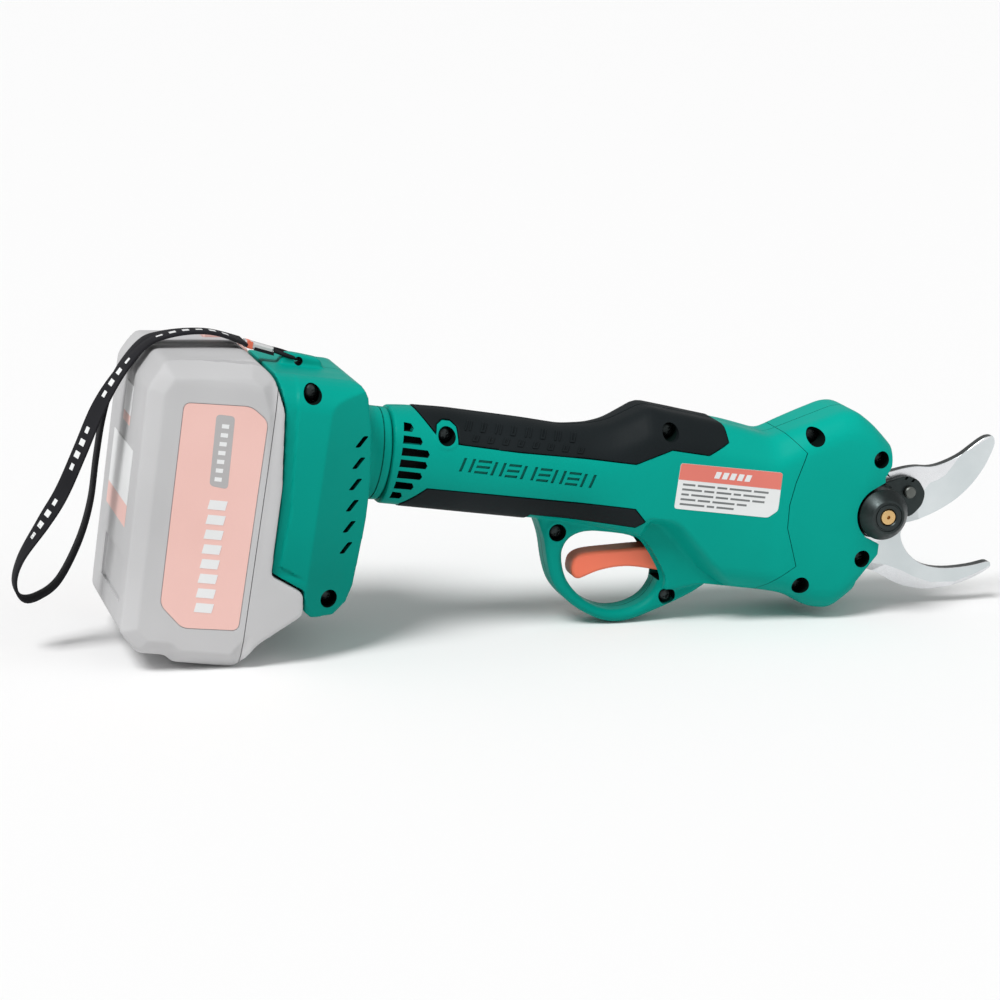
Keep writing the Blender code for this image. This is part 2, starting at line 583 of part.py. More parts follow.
def dock():
    """The battery's rails in the foot, with its terminals and the control electronics."""
    half = FOOT_HALF_WIDTH - 2.9
    channel = [(-240, half), (-226.8, half), (-226.8, -half), (-240, -half), (-240, -22.6),
               (-236.8, -22.6), (-236.8, -26.2), (-229.0, -26.2), (-229.0, 26.2), (-236.8, 26.2),
               (-236.8, 22.6), (-240, 22.6)]
    rails = prism("battery_dock", channel, -39.5, 21.5, "Z", "dark_plastic")
    for side in (-1, 1):
        cut(rails, block("slot", (-232, 8 * side - 0.9, -9), (-225, 8 * side + 0.9, 9)))
    for side, name in ((-1, "terminal_positive"), (1, "terminal_negative")):
        block(name, (-235.2, 8 * side - 0.5, -8), (-225.2, 8 * side + 0.5, 8), "copper")
    holder = block("terminal_block", (-226.4, -14, -11), (-221, 14, 11), "dark_plastic")
    for side in (-1, 1):
        cut(holder, block("slot", (-228, 8 * side - 0.8, -8.3), (-224.8, 8 * side + 0.8, 8.3)))
    block("controller_board", (-219.6, -24, -40), (-218, 24, 18), "circuit_board")
    rod("controller_capacitor", 3.2, -24, -4, (-214.5, 12), "Z", 20, "dark_steel")


def pack_form(name, inset):
    """The battery's outside, with its long edges bevelled."""
    half = PACK_HALF_WIDTH - inset
    front = [(half, -72), (half - 3, -80), (3 - half, -80), (-half, -72), (-half, 26),
             (7 - half, 36), (half - 7, 36), (half, 26)]
    side = prism(name, inset_outline(PACK_SIDE, inset), -50, 50, finish="pack_plastic")
    return keep(side, prism("front", front, -320, -200, "X"))


def pack():
    """The battery: case, lid with rails, cells, board, labels and its two buttons."""
    case = pack_form("pack_case", 0.0)
    cut(case, pack_form("hollow", 2.4), block("lid_side", (-247.6, -60, -90), (-200, 60, 60)),
        block("release_way", (-254.3, 12.7, 21), (-249.1, 27.3, 60)),
        block("gauge_way", (-266.3, 15.7, 27), (-257.7, 24.3, 60)))
    for side in (-1, 1):
        low, high = sorted((side * (PACK_HALF_WIDTH - 0.8), side * 60))
        cut(case, prism("pocket", inset_outline(PACK_LABEL, -GAP), low, high))
        inner, outer = sorted((side * (PACK_HALF_WIDTH - 0.5), side * (PACK_HALF_WIDTH - 0.05)))
        prism(f"pack_label_{'left' if side > 0 else 'right'}", PACK_LABEL, inner, outer,
              finish="label_film")
    lid = keep(pack_form("pack_lid", 0.0), block("lid_side", (-247.3, -60, -90), (-200, 60, 60)))
    tower = [(-243, 22), (-235.9, 22), (-235.9, 25.6), (-229.4, 25.6), (-229.4, -25.6),
             (-235.9, -25.6), (-235.9, -22), (-243, -22)]
    join(lid, prism("tower", tower, -50, 20.5, "Z"))
    cut(lid, block("hollow", (-250, -34, -60), (-243.6, 34, 12)))
    for side in (-1, 1):
        cut(lid, block("slot", (-236, 8 * side - 1.2, -10), (-225, 8 * side + 1.2, 30)))
    cells = None
    for x in (-280.2, -261.9):
        for row in range(5):
            cell = rod("pack_cells", CELL_RADIUS, -CELL_HALF_LENGTH, CELL_HALF_LENGTH,
                       (x, -61.6 + 18.0 * row), sides=20, finish="cell_wrap")
            cells = join(cells, cell) if cells else cell
    spacer = block("spacer", (-275, -30, -66), (-267, 30, 15))
    join(cells, spacer)
    block("pack_board", (-251.6, -30, -50), (-250.2, 30, 18), "circuit_board")
    prism("release_button", [(-254, 24), (-249.4, 24), (-249.4, 31.4), (-254, 34.7)], 13, 27,
          finish="orange_plastic")
    block("gauge_button", (-266, 16, 24), (-258, 24, 35.9), "orange_plastic")


def strap():
    """The wrist strap's loop, with the cord and ferrule that hold it to the eye on the foot."""
    lead = [(-254.6, 36.4), (-265.5, 39.1), (-274.7, 38.8), (-284, 36.2), (-290.5, 32.4),
            (-296.5, 24.5), (-301.4, 15.4), (-305.4, 5), (-309.3, -9.5), (-313.8, -24.9), (-318.9, -36.5),
            (-325.2, -50.2), (-326.9, -59.7), (-323.1, -66.9)]
    back = [(-254.6, 36.4), (-265.5, 37.9), (-274.7, 37.2), (-284, 35), (-290.3, 31.9),
            (-295.8, 24), (-299.4, 15), (-301.2, 2.3), (-301.6, -12.5), (-301.6, -29.3), (-304, -44.5), (-309.5, -59.3),
            (-316.5, -66.5), (-323.1, -66.9)]
    outer = STRAP_WIDTH + 0.5
    loop = ribbon("wrist_strap", lead, -outer, -0.5)
    join(loop, ribbon("back_leg", back, 0.5, outer), ribbon("fold", lead[-2:] + [(-316, -67.4)],
                                                          -outer + 0.4, outer - 0.4))
    prism("strap_ferrule", [(-254, 34.2), (-243.4, 32.4), (-243.4, 36.4), (-254, 38.2)], -4, 4,
          finish="orange_plastic")
    cord_loop = [(-243.0, -1.6, 34.6), (-239.5, -3.2, 33.8), (-236.2, -3.0, 33.0),
                 (-234.0, -0.9, 32.6), (-234.0, 4.2, 32.6), (-236.2, 6.0, 33.0),
                 (-239.5, 5.2, 33.8), (-243.0, 2.6, 34.6)]
    line = bpy.data.curves.new("strap_cord", "CURVE")
    line.dimensions = "3D"
    spline = line.splines.new("POLY")
    spline.points.add(len(cord_loop) - 1)
    for point, place in zip(spline.points, cord_loop):
        point.co = (*(value * MM for value in place), 1.0)
    line.bevel_depth = 0.8 * MM
    line.bevel_resolution = 2
    line.use_fill_caps = True
    line.materials.append(paint("webbing"))
    bpy.context.collection.objects.link(bpy.data.objects.new("strap_cord", line))


def ribbon(name, route, low, high):
    """A flat strap of even thickness along a route in the XZ plane."""
    above, below = [], []
    for index, here in enumerate(route):
        before, after = route[max(index - 1, 0)], route[min(index + 1, len(route) - 1)]
        along = (Vector(after) - Vector(before)).normalized()
        normal = Vector((-along.y, along.x)) * (STRAP_THICKNESS / 2)
        above.append(tuple(Vector(here) + normal))
        below.append(tuple(Vector(here) - normal))
    return prism(name, above + below[::-1], low, high, finish="webbing")


CORD_PIECES = ("wrist_strap", "strap_ferrule", "strap_cord")
JOINT_ORIGINS = {
    "trigger": (TRIGGER_PIVOT[0], 0, TRIGGER_PIVOT[1]),
    "motor_rotor": (MOTOR_REAR, 0, 0),
    "drive_shaft": (-26, 0, 0),
    "release_button": (-251.7, 20, 28),
    "gauge_button": (-262, 20, 30),
}


def set_origins():
    """Move each moving piece's origin onto its joint's axis."""
    for name, place in JOINT_ORIGINS.items():
        item, origin = bpy.data.objects[name], Vector(place) * MM
        item.data.transform(Matrix.Translation(-origin))
        item.location = origin


def stand_on_floor():
    """Tilt the tool until it rests, and centre its footprint over the origin."""
    tool = bpy.data.objects.new("tool", None)
    tool.rotation_euler = (0, math.radians(REST_TILT), 0)
    pieces = [item for item in bpy.data.objects if item.type in ("MESH", "CURVE")]
    bpy.context.collection.objects.link(tool)
    for item in pieces:
        item.parent = tool
    bpy.context.view_layer.update()
    corners = [item.matrix_world @ corner.co for item in pieces
               if item.name not in CORD_PIECES for corner in item.data.vertices]
    lows = [min(corner[axis] for corner in corners) for axis in range(3)]
    highs = [max(corner[axis] for corner in corners) for axis in range(3)]
    tool.location = (-(lows[0] + highs[0]) / 2, -(lows[1] + highs[1]) / 2, -lows[2])


def main():
    clear_scene()
    housing()
    grips_and_label()
    head_covers()
    blades()
    pivot_parts()
    drive()
    trigger()
    foot()
    dock()
    pack()
    strap()
    set_origins()
    stand_on_floor()


main()
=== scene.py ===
"""Looks of the battery electric pruner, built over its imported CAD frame.

Pieces are modelled in the tool's own frame, in millimetres: the origin is on the blade pivot, +X runs
along the grip towards the blades, +Z is the thumb side and +Y is the tool's left side. TOOL carries
that frame into the row frame, where the tool stands tilted on its battery and trigger guard.
"""

import json
import math

import bmesh
import bpy
import numpy as np
from mathutils import Matrix, Vector
from mathutils.bvhtree import BVHTree


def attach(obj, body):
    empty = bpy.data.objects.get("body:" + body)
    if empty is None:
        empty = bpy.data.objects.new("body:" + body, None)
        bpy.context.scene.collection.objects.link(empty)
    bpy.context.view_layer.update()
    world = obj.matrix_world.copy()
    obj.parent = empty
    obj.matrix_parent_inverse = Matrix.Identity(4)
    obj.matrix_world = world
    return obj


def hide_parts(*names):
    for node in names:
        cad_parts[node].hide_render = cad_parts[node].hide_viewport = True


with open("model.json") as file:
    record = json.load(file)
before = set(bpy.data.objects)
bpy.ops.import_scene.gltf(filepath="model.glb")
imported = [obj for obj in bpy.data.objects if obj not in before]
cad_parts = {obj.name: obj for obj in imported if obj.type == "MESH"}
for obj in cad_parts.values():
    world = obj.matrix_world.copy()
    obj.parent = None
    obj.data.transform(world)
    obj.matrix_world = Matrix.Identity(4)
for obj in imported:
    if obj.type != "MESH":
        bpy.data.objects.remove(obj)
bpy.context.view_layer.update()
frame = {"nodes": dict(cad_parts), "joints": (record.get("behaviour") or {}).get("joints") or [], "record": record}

MM = 0.001
JOINTS = {joint["name"]: joint for joint in frame["joints"]}
PIVOT = Vector(JOINTS["blade_pivot"]["pos_m"])
THUMB_WARD = -Vector(JOINTS["battery_slide"]["axis"]).normalized()
LEFT_WARD = Vector((0, 1, 0))
TOOL_AXES = Matrix((LEFT_WARD.cross(THUMB_WARD), LEFT_WARD, THUMB_WARD)).transposed()
TOOL = Matrix.Translation(PIVOT) @ TOOL_AXES.to_4x4()
TOOL_MM = TOOL @ Matrix.Scale(MM, 4)

RING_COUNT = 128
VOXEL = 0.62  # the grain of the remeshed shells
SEAM = 0.15
WALL = 2.6
SHELL_HOLLOW = 2.4
BODY_START = -197.0
BODY_END = 10.8
BODY_SIDE = 19.3
WEB_HALF_WIDTH = 10.4
PACK_HALF_WIDTH = 37.5
PACK_REAR = -293.5
PACK_REAR_LEAN = 1.7 / 89
PACK_SPLIT = -247.3
FOOT_HALF_WIDTH = 36.0
NECK_CENTRE = (0, 0.4)
GUARD_HALF_WIDTH = 6.5
TRIGGER_HALF_WIDTH = 5.3
TRIGGER_PIVOT = (-76.0, -29.0)
WELL_RADIUS = 3.4
BUTTON_MIDDLE = 20
BORE_RADIUS = 5.2


class Line:
    """Straight runs through (x, value) corners, each corner rounded off."""

    def __init__(self, corners, rounding=3.0):
        spots = [Vector(corner) for corner in corners]
        line = [spots[0]]
        for before, here, after in zip(spots, spots[1:], spots[2:]):
            back, ahead = before - here, after - here
            reach = min(rounding, back.length * 0.48, ahead.length * 0.48)
            start = here + back.normalized() * reach
            end = here + ahead.normalized() * reach
            for step in range(7):
                share = step / 6
                line.append(start * (1 - share) ** 2 + here * 2 * share * (1 - share) + end * share ** 2)
        line.append(spots[-1])
        self.x, self.value = np.array([tuple(spot) for spot in line]).T

    def at(self, x):
        return float(np.interp(x, self.x, self.value))


TOP = Line([
    (-197, 18.6), (-190, 19.3), (-175, 19.7), (-145, 19.0), (-129, 18.2), (-118, 19.8), (-111, 22.0),
    (-98.6, 29.7), (-93, 29.1), (-62, 26.2), (-47.2, 23.9), (-20.5, 37.4), (-15.5, 37.9), (-8, 33.7),
    (-2, 29.1), (4.2, 24.0), (10.8, 17.0)])
BOTTOM = Line([
    (-197, -17.9), (-125, -18.0), (-96, -19.8), (-91.7, -22.0), (-81, -34.6), (-74, -35.8),
    (-40, -35.9), (-33, -36.3), (-22, -40.6), (-13.4, -40.6), (-4.5, -32.0), (4, -22.8), (10.8, -15.0)])
HALF_WIDTH = Line([
    (-197, 17.6), (-190, 17.0), (-120, 17.0), (-105, 18.0), (-90, 19.3), (-45, 19.3), (-38, 19.9),
    (-8, 19.9), (4, 17.5), (10.8, 14.0)])
FACETING = Line([(-197, 0.0), (-122, 0.0), (-98, 1.0), (10.8, 1.0)])
TOP_BEVEL_ACROSS = Line([(-197, 8.0), (-98, 8.5), (-50, 8.5), (-30, 6.0), (10.8, 5.0)])
TOP_BEVEL_DOWN = Line([(-197, 8.0), (-98, 9.5), (-50, 9.5), (-30, 7.0), (10.8, 5.0)])
BOTTOM_BEVEL = Line([(-197, 8.0), (-80, 7.0), (-50, 6.0), (10.8, 5.0)])

HEAD_BROW = [(1.2, 40), (1.2, 18.2), (5.5, 12.6), (30, 11), (30, 40)]
HEAD_ZONE = [
    (-60, 60), (-48, 31), (-46.4, 29.1), (-35.8, 20.7), (-38.4, 9), (-39.4, 0), (-38.6, -9),
    (-32.4, -23.5), (-44.6, -34.2), (-46, -60), (30, -60), (30, 60),
]
GUARD_OUTER = [
    (-134.8, -13), (-133.6, -18.6), (-131.4, -22.4), (-129.4, -27), (-127.6, -33.5), (-124.4, -41.2),
    (-120.3, -46), (-113.3, -50.7), (-106.6, -53.4), (-101.3, -54.8), (-96.3, -54.9),
    (-90.6, -53.7), (-82.2, -49.5), (-70.7, -43), (-64.3, -38.5), (-60, -34), (-80, -13),
]
GUARD_OPENING = [
    (-122.6, -29), (-120.4, -23.5), (-114.3, -20.4), (-105, -20.2), (-95.7, -20.5), (-91.7, -22.6),
    (-86, -29.4), (-81.6, -35.9), (-82.5, -40.2), (-85.4, -45.3), (-91.5, -49.1), (-98, -50.5),
    (-103.9, -50), (-109.3, -48), (-114.8, -44.2), (-118.8, -40), (-121.2, -35),
]
TRIGGER_OUTLINE = [
    (-117, -34.6), (-116.6, -32.2), (-114.6, -30.2), (-111, -28.8), (-100.9, -26.9), (-89.3, -24.7),
    (-80, -23.8), (-74, -25), (-71.8, -29), (-74.5, -32.2), (-79.2, -33.6), (-87.2, -33),
    (-93.6, -32.7), (-100.5, -33.8), (-106.8, -35.9), (-111.5, -38.6), (-113.6, -39.7),
    (-115.6, -39.2), (-116.8, -37.2),
]
TOP_GRIP = [
    (-190.4, 40), (-190.4, 22), (-181.4, 12.5), (-180.9, 15.6), (-178.6, 17.2), (-175.4, 17.2),
    (-173.2, 15.6), (-172.3, 9.6), (-148.6, 8.9), (-103.1, 9.4), (-90.2, 16.4), (-75.2, 15.8),
    (-67, 21), (-68, 26), (-74, 40),
]
BOTTOM_GRIP = [
    (-189.2, -40), (-189.2, -15.9), (-181.8, -8.2), (-100.5, -7.8), (-95.8, -12.2), (-98.5, -15.2),
    (-139, -15.2), (-139, -40),
]
INFO_LABEL = [(-86, 11.9), (-44.4, 12.2), (-43.6, -2.6), (-47.3, -5.7), (-85.7, -5.7)]
FOOT_SIDE = [
    (-247.2, 30.2), (-246, 27), (-243.4, 18.7), (-241.4, 0), (-240.6, -10), (-240.2, -40.5),
    (-227.5, -46), (-226, -54), (-223, -56.3), (-214, -55.2), (-209.5, -50.5), (-207.5, -44),
    (-206, -19), (-206.7, -4), (-209.4, 14), (-212.6, 25.4), (-215, 29.2), (-218, 30.2),
]
PACK_SIDE = [
    (-293.5, 22), (-288.5, 31.5), (-256, 35), (-249, 30), (-244.2, 18.7), (-242, -2), (-241.2, -8.4),
    (-240.7, -41.3), (-228, -46.6), (-227, -54.8), (-242, -67), (-248.8, -76.9), (-271.3, -76.9),
    (-274.6, -74.2), (-284.2, -74.4), (-291.8, -67),
]
PACK_LABEL = [
    (-280.6, 18.4), (-256.6, 19.4), (-250, 14.8), (-250, -62), (-270.4, -62.7), (-279.2, -55),
]
HOUSING_SCREWS = [
    (-177, 11.9, -11, 7), (-91.2, 22.6, -12.4, 8), (-125.8, -21.9, -5.2, 4.5),
    (-77.8, -42.5, -5.2, 4.5),
]
HEAD_SCREWS = [
    (-32.6, 26.8, -12, 8), (-28.9, -31, -14.4, 8), (-4.6, 21.1, -15, 8),
    (-5.3, -18.3, -15, 8),
]
FOOT_SCREWS = [(-234.3, 25.4, -29.5, 8), (-216.9, -49, -26, 8)]
WEB_LINE = [(-85.3, -17.3), (-66.6, -33.9)]
ENGRAVING_START = (-170.5, 2.4)
ENGRAVING_BARS = [4.6, 5.2, 4.4, 4.8, 5.2, 4.6, 4.4, 4.8, 4.6]
LABEL_PRINT = [
    (5, 1, 7, 1, 4, 1, 9, 1, 6), (8, 1, 4, 1, 6, 1, 3, 1, 9), (3, 1, 9, 1, 5, 1, 8, 1, 5),
    (6, 1, 5, 1, 9, 1, 4), (10, 1, 3, 1, 7),
]
LOCK_SCREW_AT = (12.6, 8.5)
MOVING_BLADE_FREE = [
    (0, 13.7), (5.9, 15.5), (11.3, 17.5), (16, 18.5), (21, 18.5), (26.2, 20.3), (33.1, 24.3), (37.8, 28.9),
    (42.5, 33.2), (46.5, 33.6), (48.2, 31), (47.7, 26.8), (45.3, 19.3), (41.2, 12.2), (35.8, 6),
    (29.5, 1.2), (22.1, -3.1), (15.1, -5.6), (10, -7),
]
MOVING_RIDGE = [
    (33.1, 24.9), (30.5, 20), (28.2, 16.1), (25.5, 14), (22.3, 12.4), (20.6, 9.7), (17.5, 4), (12.5, -4.6),
]
MOVING_EDGE = [
    (46.8, 34.8), (48.9, 29.5), (45.3, 19.3), (41.2, 12.2), (35.8, 6), (29.5, 1.2), (22.1, -3.1),
    (15.1, -5.7),
]
FIXED_BLADE = [
    (17, -6.4), (15.4, -9.4), (17.1, -13.4), (20.1, -17.3), (25.2, -20.5), (31.1, -22.1),
    (38.9, -21.9), (49.7, -19.6), (56, -17), (57.3, -19), (56.8, -20.9), (50.8, -25.1),
    (43.1, -28.9), (32.4, -31.4), (22.8, -31.2), (15.8, -29.2), (9, -26.1), (0, -24.5),
    (-9, -23), (-11, -12), (-10.5, 4), (-6, 11), (2, 13), (10, 9), (14, 1),
]
FIXED_RIDGE = [
    (58, -18.4), (50, -23.4), (42.5, -26.9), (32.4, -28), (24.5, -26.4), (19.1, -24.4), (11.5, -22.6),
    (1, -22.4),
]
FIXED_EDGE = [
    (59, -20), (51.2, -25.5), (43.3, -29.3), (32.4, -31.8), (22.6, -31.6), (15.6, -29.6), (7, -26.2),
    (-2, -25),
]
LOCK_PLATE_LOBE = [
    (15.5, -1.2), (19.4, 3.8), (19.8, 8.9), (15.8, 13.7), (10.1, 14.6), (3.3, 11.7),
]
STRAP_WIDTH, STRAP_THICKNESS = 8, 1.2
STRAP_ROUTE = [
    (-254.6, -4.5, 36.4), (-265.5, -4.5, 39.1), (-274.7, -4.5, 38.8), (-284, -4.5, 36.2),
    (-290.5, -4.5, 32.4), (-296.5, -4.5, 24.5), (-301.4, -4.5, 15.4), (-305.4, -4.5, 5),
    (-309.3, -4.5, -9.5), (-313.8, -4.5, -24.9), (-318.9, -4.5, -36.5), (-325.2, -4.2, -50.2),
    (-326.3, -3, -59.7), (-322.6, -0.5, -65.8), (-316.5, 2.2, -65.4), (-309.5, 4, -59.3),
    (-304, 4.5, -44.5), (-301.6, 4.5, -29.3), (-301.6, 4.5, -12.5), (-301.2, 4.5, 2.3),
    (-299.4, 4.5, 15), (-295.8, 4.5, 24), (-290.3, 4.5, 31.9), (-284, 4.5, 35), (-274.7, 4.5, 37.2),
    (-265.5, 4.5, 37.9), (-254.6, 4.5, 36.4),
]
CORD_LOOP = [
    (-243, -1.6, 34.6), (-239.5, -3.2, 33.8), (-236.2, -3, 33), (-234, -0.9, 32.6),
    (-234, 4.2, 32.6), (-236.2, 6, 33), (-239.5, 5.2, 33.8), (-243, 2.6, 34.6),
]


# ---- mesh tools, in tool millimetres

def solid(name, corners, faces):
    mesh = bpy.data.meshes.new(name)
    mesh.from_pydata([tuple(corner) for corner in corners], [], faces)
    work = bmesh.new()
    work.from_mesh(mesh)
    bmesh.ops.recalc_face_normals(work, faces=work.faces)
    work.to_mesh(mesh)
    work.free()
    item = bpy.data.objects.new(name, mesh)
    bpy.context.scene.collection.objects.link(item)
    return item


def stacks(name, groups):
    """Closed solids in one mesh, each through its own rings of equal length, with flat ends."""
    corners, faces = [], []
    for rings in groups:
        first, count = len(corners), len(rings[0])
        corners += [corner for ring in rings for corner in ring]
        last = len(corners) - count
        faces += [tuple(range(first, first + count)), tuple(range(last, last + count))]
        for start in range(first, last, count):
            for step in range(count):
                near, far = start + step, start + (step + 1) % count
                faces.append((near, far, far + count, near + count))
    return solid(name, corners, faces)


def stacked(name, rings):
    return stacks(name, [rings])


def many_prisms(name, outlines, low, high):
    """Separate prisms along Y in one mesh."""
    return stacks(name, [[[(x, y, z) for x, z in outline] for y in (low, high)] for outline in outlines])


# How a point in an outline's plane and a distance along the named axis become (x, y, z).
ALONG = {
    "X": lambda first, second, distance: (distance, first, second),
    "Y": lambda first, second, distance: (first, distance, second),
    "Z": lambda first, second, distance: (first, second, distance),
}


def prism(name, outline, low, high, axis="Y"):
    return stacked(name, [[ALONG[axis](a, b, distance) for a, b in outline] for distance in (low, high)])


def block(name, low, high):
    outline = [(low[0], low[2]), (high[0], low[2]), (high[0], high[2]), (low[0], high[2])]
    return prism(name, outline, low[1], high[1])


def turned(name, profile, centre=(0, 0), axis="Y", sides=64):
    """A solid turned about an axis through centre, from (radius, distance along the axis)."""
    around = [2 * math.pi * step / sides for step in range(sides)]
    return stacked(name, [
        [ALONG[axis](centre[0] + radius * math.cos(turn), centre[1] + radius * math.sin(turn), distance)
         for turn in around] for radius, distance in profile])


def rod(name, radius, low, high, centre=(0, 0), axis="Y", sides=40):
    return turned(name, [(radius, low), (radius, high)], centre, axis, sides)


def arc(radius, start, end, steps):
    """Points on a circle round the origin, from one angle to another in degrees."""
    turns = [math.radians(start + (end - start) * step / steps) for step in range(steps + 1)]
    return [(radius * math.cos(turn), radius * math.sin(turn)) for turn in turns]


def inset_outline(outline, distance):
    """An outline moved inwards by a distance, corner by corner."""
    area = sum(a[0] * b[1] - b[0] * a[1] for a, b in zip(outline, outline[1:] + outline[:1]))
    side = 1.0 if area > 0 else -1.0
    result = []
    for index, here in enumerate(outline):
        corner = Vector(here)
        back = (corner - Vector(outline[index - 1])).normalized()
        ahead = (Vector(outline[(index + 1) % len(outline)]) - corner).normalized()
        inward = Vector((-back.y - ahead.y, back.x + ahead.x)).normalized() * side
        lean = max(0.4, inward.dot(Vector((-back.y, back.x)) * side))
        result.append(tuple(corner + inward * (distance / lean)))
    return result


def eased(outline, radius, steps=6):
    """An outline with each corner rounded, as far as its edges leave room."""
    result = []
    for index, here in enumerate(outline):
        corner = Vector(here)
        back = Vector(outline[index - 1]) - corner
        ahead = Vector(outline[(index + 1) % len(outline)]) - corner
        start = corner + back.normalized() * min(radius, back.length * 0.48)
        end = corner + ahead.normalized() * min(radius, ahead.length * 0.48)
        for step in range(steps + 1):
            share = step / steps
            result.append(tuple(
                start * (1 - share) ** 2 + corner * 2 * share * (1 - share) + end * share ** 2))
    return result


def bevelled_prism(name, outline, half_width, inset, middle=0.0):
    """An outline extruded along Y, both of its rims bevelled by the inset."""
    small = inset_outline(outline, inset)
    rings = []
    for points, y in ((small, -half_width), (outline, inset - half_width),
                      (outline, half_width - inset), (small, half_width)):
        rings.append([(x, middle + y, z) for x, z in points])
    return stacked(name, rings)


def combine(target, tool, operation):
    step = target.modifiers.new(operation, "BOOLEAN")
    step.operation = operation
    step.solver = "MANIFOLD"
    step.object = tool
    bake(target)
    bpy.data.objects.remove(tool)
    return target


def bake(item):
    """Turn an object's modifiers into its mesh."""
    bpy.context.view_layer.update()
    shape = bpy.data.meshes.new_from_object(item.evaluated_get(bpy.context.evaluated_depsgraph_get()))
    item.modifiers.clear()
    item.data = shape


def cut(target, *tools):
    for tool in tools:
        combine(target, tool, "DIFFERENCE")
    return target


def keep(target, tool):
    return combine(target, tool, "INTERSECT")


def join(target, *tools):
    for tool in tools:
        combine(target, tool, "UNION")
    return target


def copy_of(item, name):
    made = item.copy()
    made.data = item.data.copy()
    made.name = name
    bpy.context.scene.collection.objects.link(made)
    return made


def soften(item, voxel, rounds):
    """Remesh evenly and smooth, which turns hard edges into moulded ones."""
    remesh = item.modifiers.new("remesh", "REMESH")
    remesh.mode = "VOXEL"
    remesh.voxel_size = voxel
    remesh.adaptivity = 0.0
    smooth = item.modifiers.new("smooth", "SMOOTH")
    smooth.factor = 0.5
    smooth.iterations = rounds
    bake(item)
    return item


def outline_distance(outline, x, z):
    """Signed distance of points to an outline in the XZ plane, negative inside it."""
    inside = np.zeros(len(x), bool)
    nearest = np.full(len(x), 1e9)
    for (ax, az), (bx, bz) in zip(outline, outline[1:] + outline[:1]):
        run, rise = bx - ax, bz - az
        along = np.clip(((x - ax) * run + (z - az) * rise) / (run ** 2 + rise ** 2), 0, 1)
        nearest = np.minimum(nearest, np.hypot(x - ax - along * run, z - az - along * rise))
        inside ^= ((az > z) != (bz > z)) & (x < run * (z - az) / (rise + 1e-12) + ax)
    return np.where(inside, -nearest, nearest)


def eased_step(value, low, high):
    share = np.clip((value - low) / (high - low), 0, 1)
    return share * share * (3 - 2 * share)


def sink_sides(item, depth_at, reach):
    """Push the side walls inwards by depth_at(x, z), but never closer to the middle than the reach."""
    points = np.empty(len(item.data.vertices) * 3, np.float32)
    item.data.vertices.foreach_get("co", points)
    x, y, z = points.reshape(-1, 3).T
    y -= np.sign(y) * np.minimum(depth_at(x, z), np.maximum(0, np.abs(y) - reach))
    item.data.vertices.foreach_set("co", points)
    item.data.update()


def place(item, body, node, *finishes, angle=35):
    """Carry a finished piece into the row frame, shade it, paint it and let it ride its body."""
    slots = [polygon.material_index for polygon in item.data.polygons]
    item.data.transform(TOOL_MM)
    item.data.materials.clear()
    for finish in finishes:
        item.data.materials.append(finish)
    last = len(finishes) - 1
    item.data.polygons.foreach_set("material_index", [min(slot, last) for slot in slots])
    item.data.shade_smooth()
    item.data.set_sharp_from_angle(angle=math.radians(angle))
    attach(item, body)
    if node:
        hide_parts(node)


# ---- materials

def material(name):
    made = bpy.data.materials.new(name)
    made.use_nodes = True
    nodes, links = made.node_tree.nodes, made.node_tree.links
    return made, nodes, links, nodes["Principled BSDF"]


def object_noise(nodes, links, scale, detail=3.0, stretch=(1, 1, 1)):
    """Noise in object space; the scale is in waves per metre."""
    where = nodes.new("ShaderNodeTexCoord")
    mapping = nodes.new("ShaderNodeMapping")
    mapping.inputs["Scale"].default_value = stretch
    noise = nodes.new("ShaderNodeTexNoise")
    noise.inputs["Scale"].default_value = scale
    noise.inputs["Detail"].default_value = detail
    links.new(where.outputs["Object"], mapping.inputs["Vector"])
    links.new(mapping.outputs["Vector"], noise.inputs["Vector"])
    return noise.outputs["Fac"]


def ramp(nodes, links, source, stops):
    """Colours (or greys) along a source value, from (position, colour) stops."""
    made = nodes.new("ShaderNodeValToRGB")
    line = made.color_ramp.elements
    while len(line) < len(stops):
        line.new(0.5)
    for element, (position, colour) in zip(line, stops):
        element.position = position
        element.color = (*colour, 1)
    links.new(source, made.inputs["Fac"])
    return made.outputs["Color"]


def grey(value):
    return (value, value, value)


def bump(nodes, links, shader, source, strength, distance):
    made = nodes.new("ShaderNodeBump")
    made.inputs["Strength"].default_value = strength
    made.inputs["Distance"].default_value = distance
    links.new(source, made.inputs["Height"])
    links.new(made.outputs["Normal"], shader.inputs["Normal"])


def painted_top_light(nodes, links, drift, towards_light):
    """Painted light: a shade value that rises along a direction of the frame, so that the colour is lighter
    towards the top and darker below, with a little drift in it.
    """
    where = nodes.new("ShaderNodeTexCoord")
    along = nodes.new("ShaderNodeVectorMath")
    along.operation = "DOT_PRODUCT"
    along.inputs[1].default_value = towards_light
    total = nodes.new("ShaderNodeMath")
    total.operation = "MULTIPLY_ADD"
    total.inputs[1].default_value = 0.15
    shifted = nodes.new("ShaderNodeMath")
    shifted.inputs[1].default_value = 0.225
    links.new(where.outputs["Object"], along.inputs[0])
    links.new(drift, total.inputs[0])
    links.new(along.outputs["Value"], total.inputs[2])
    links.new(total.outputs["Value"], shifted.inputs[0])
    return shifted.outputs["Value"]


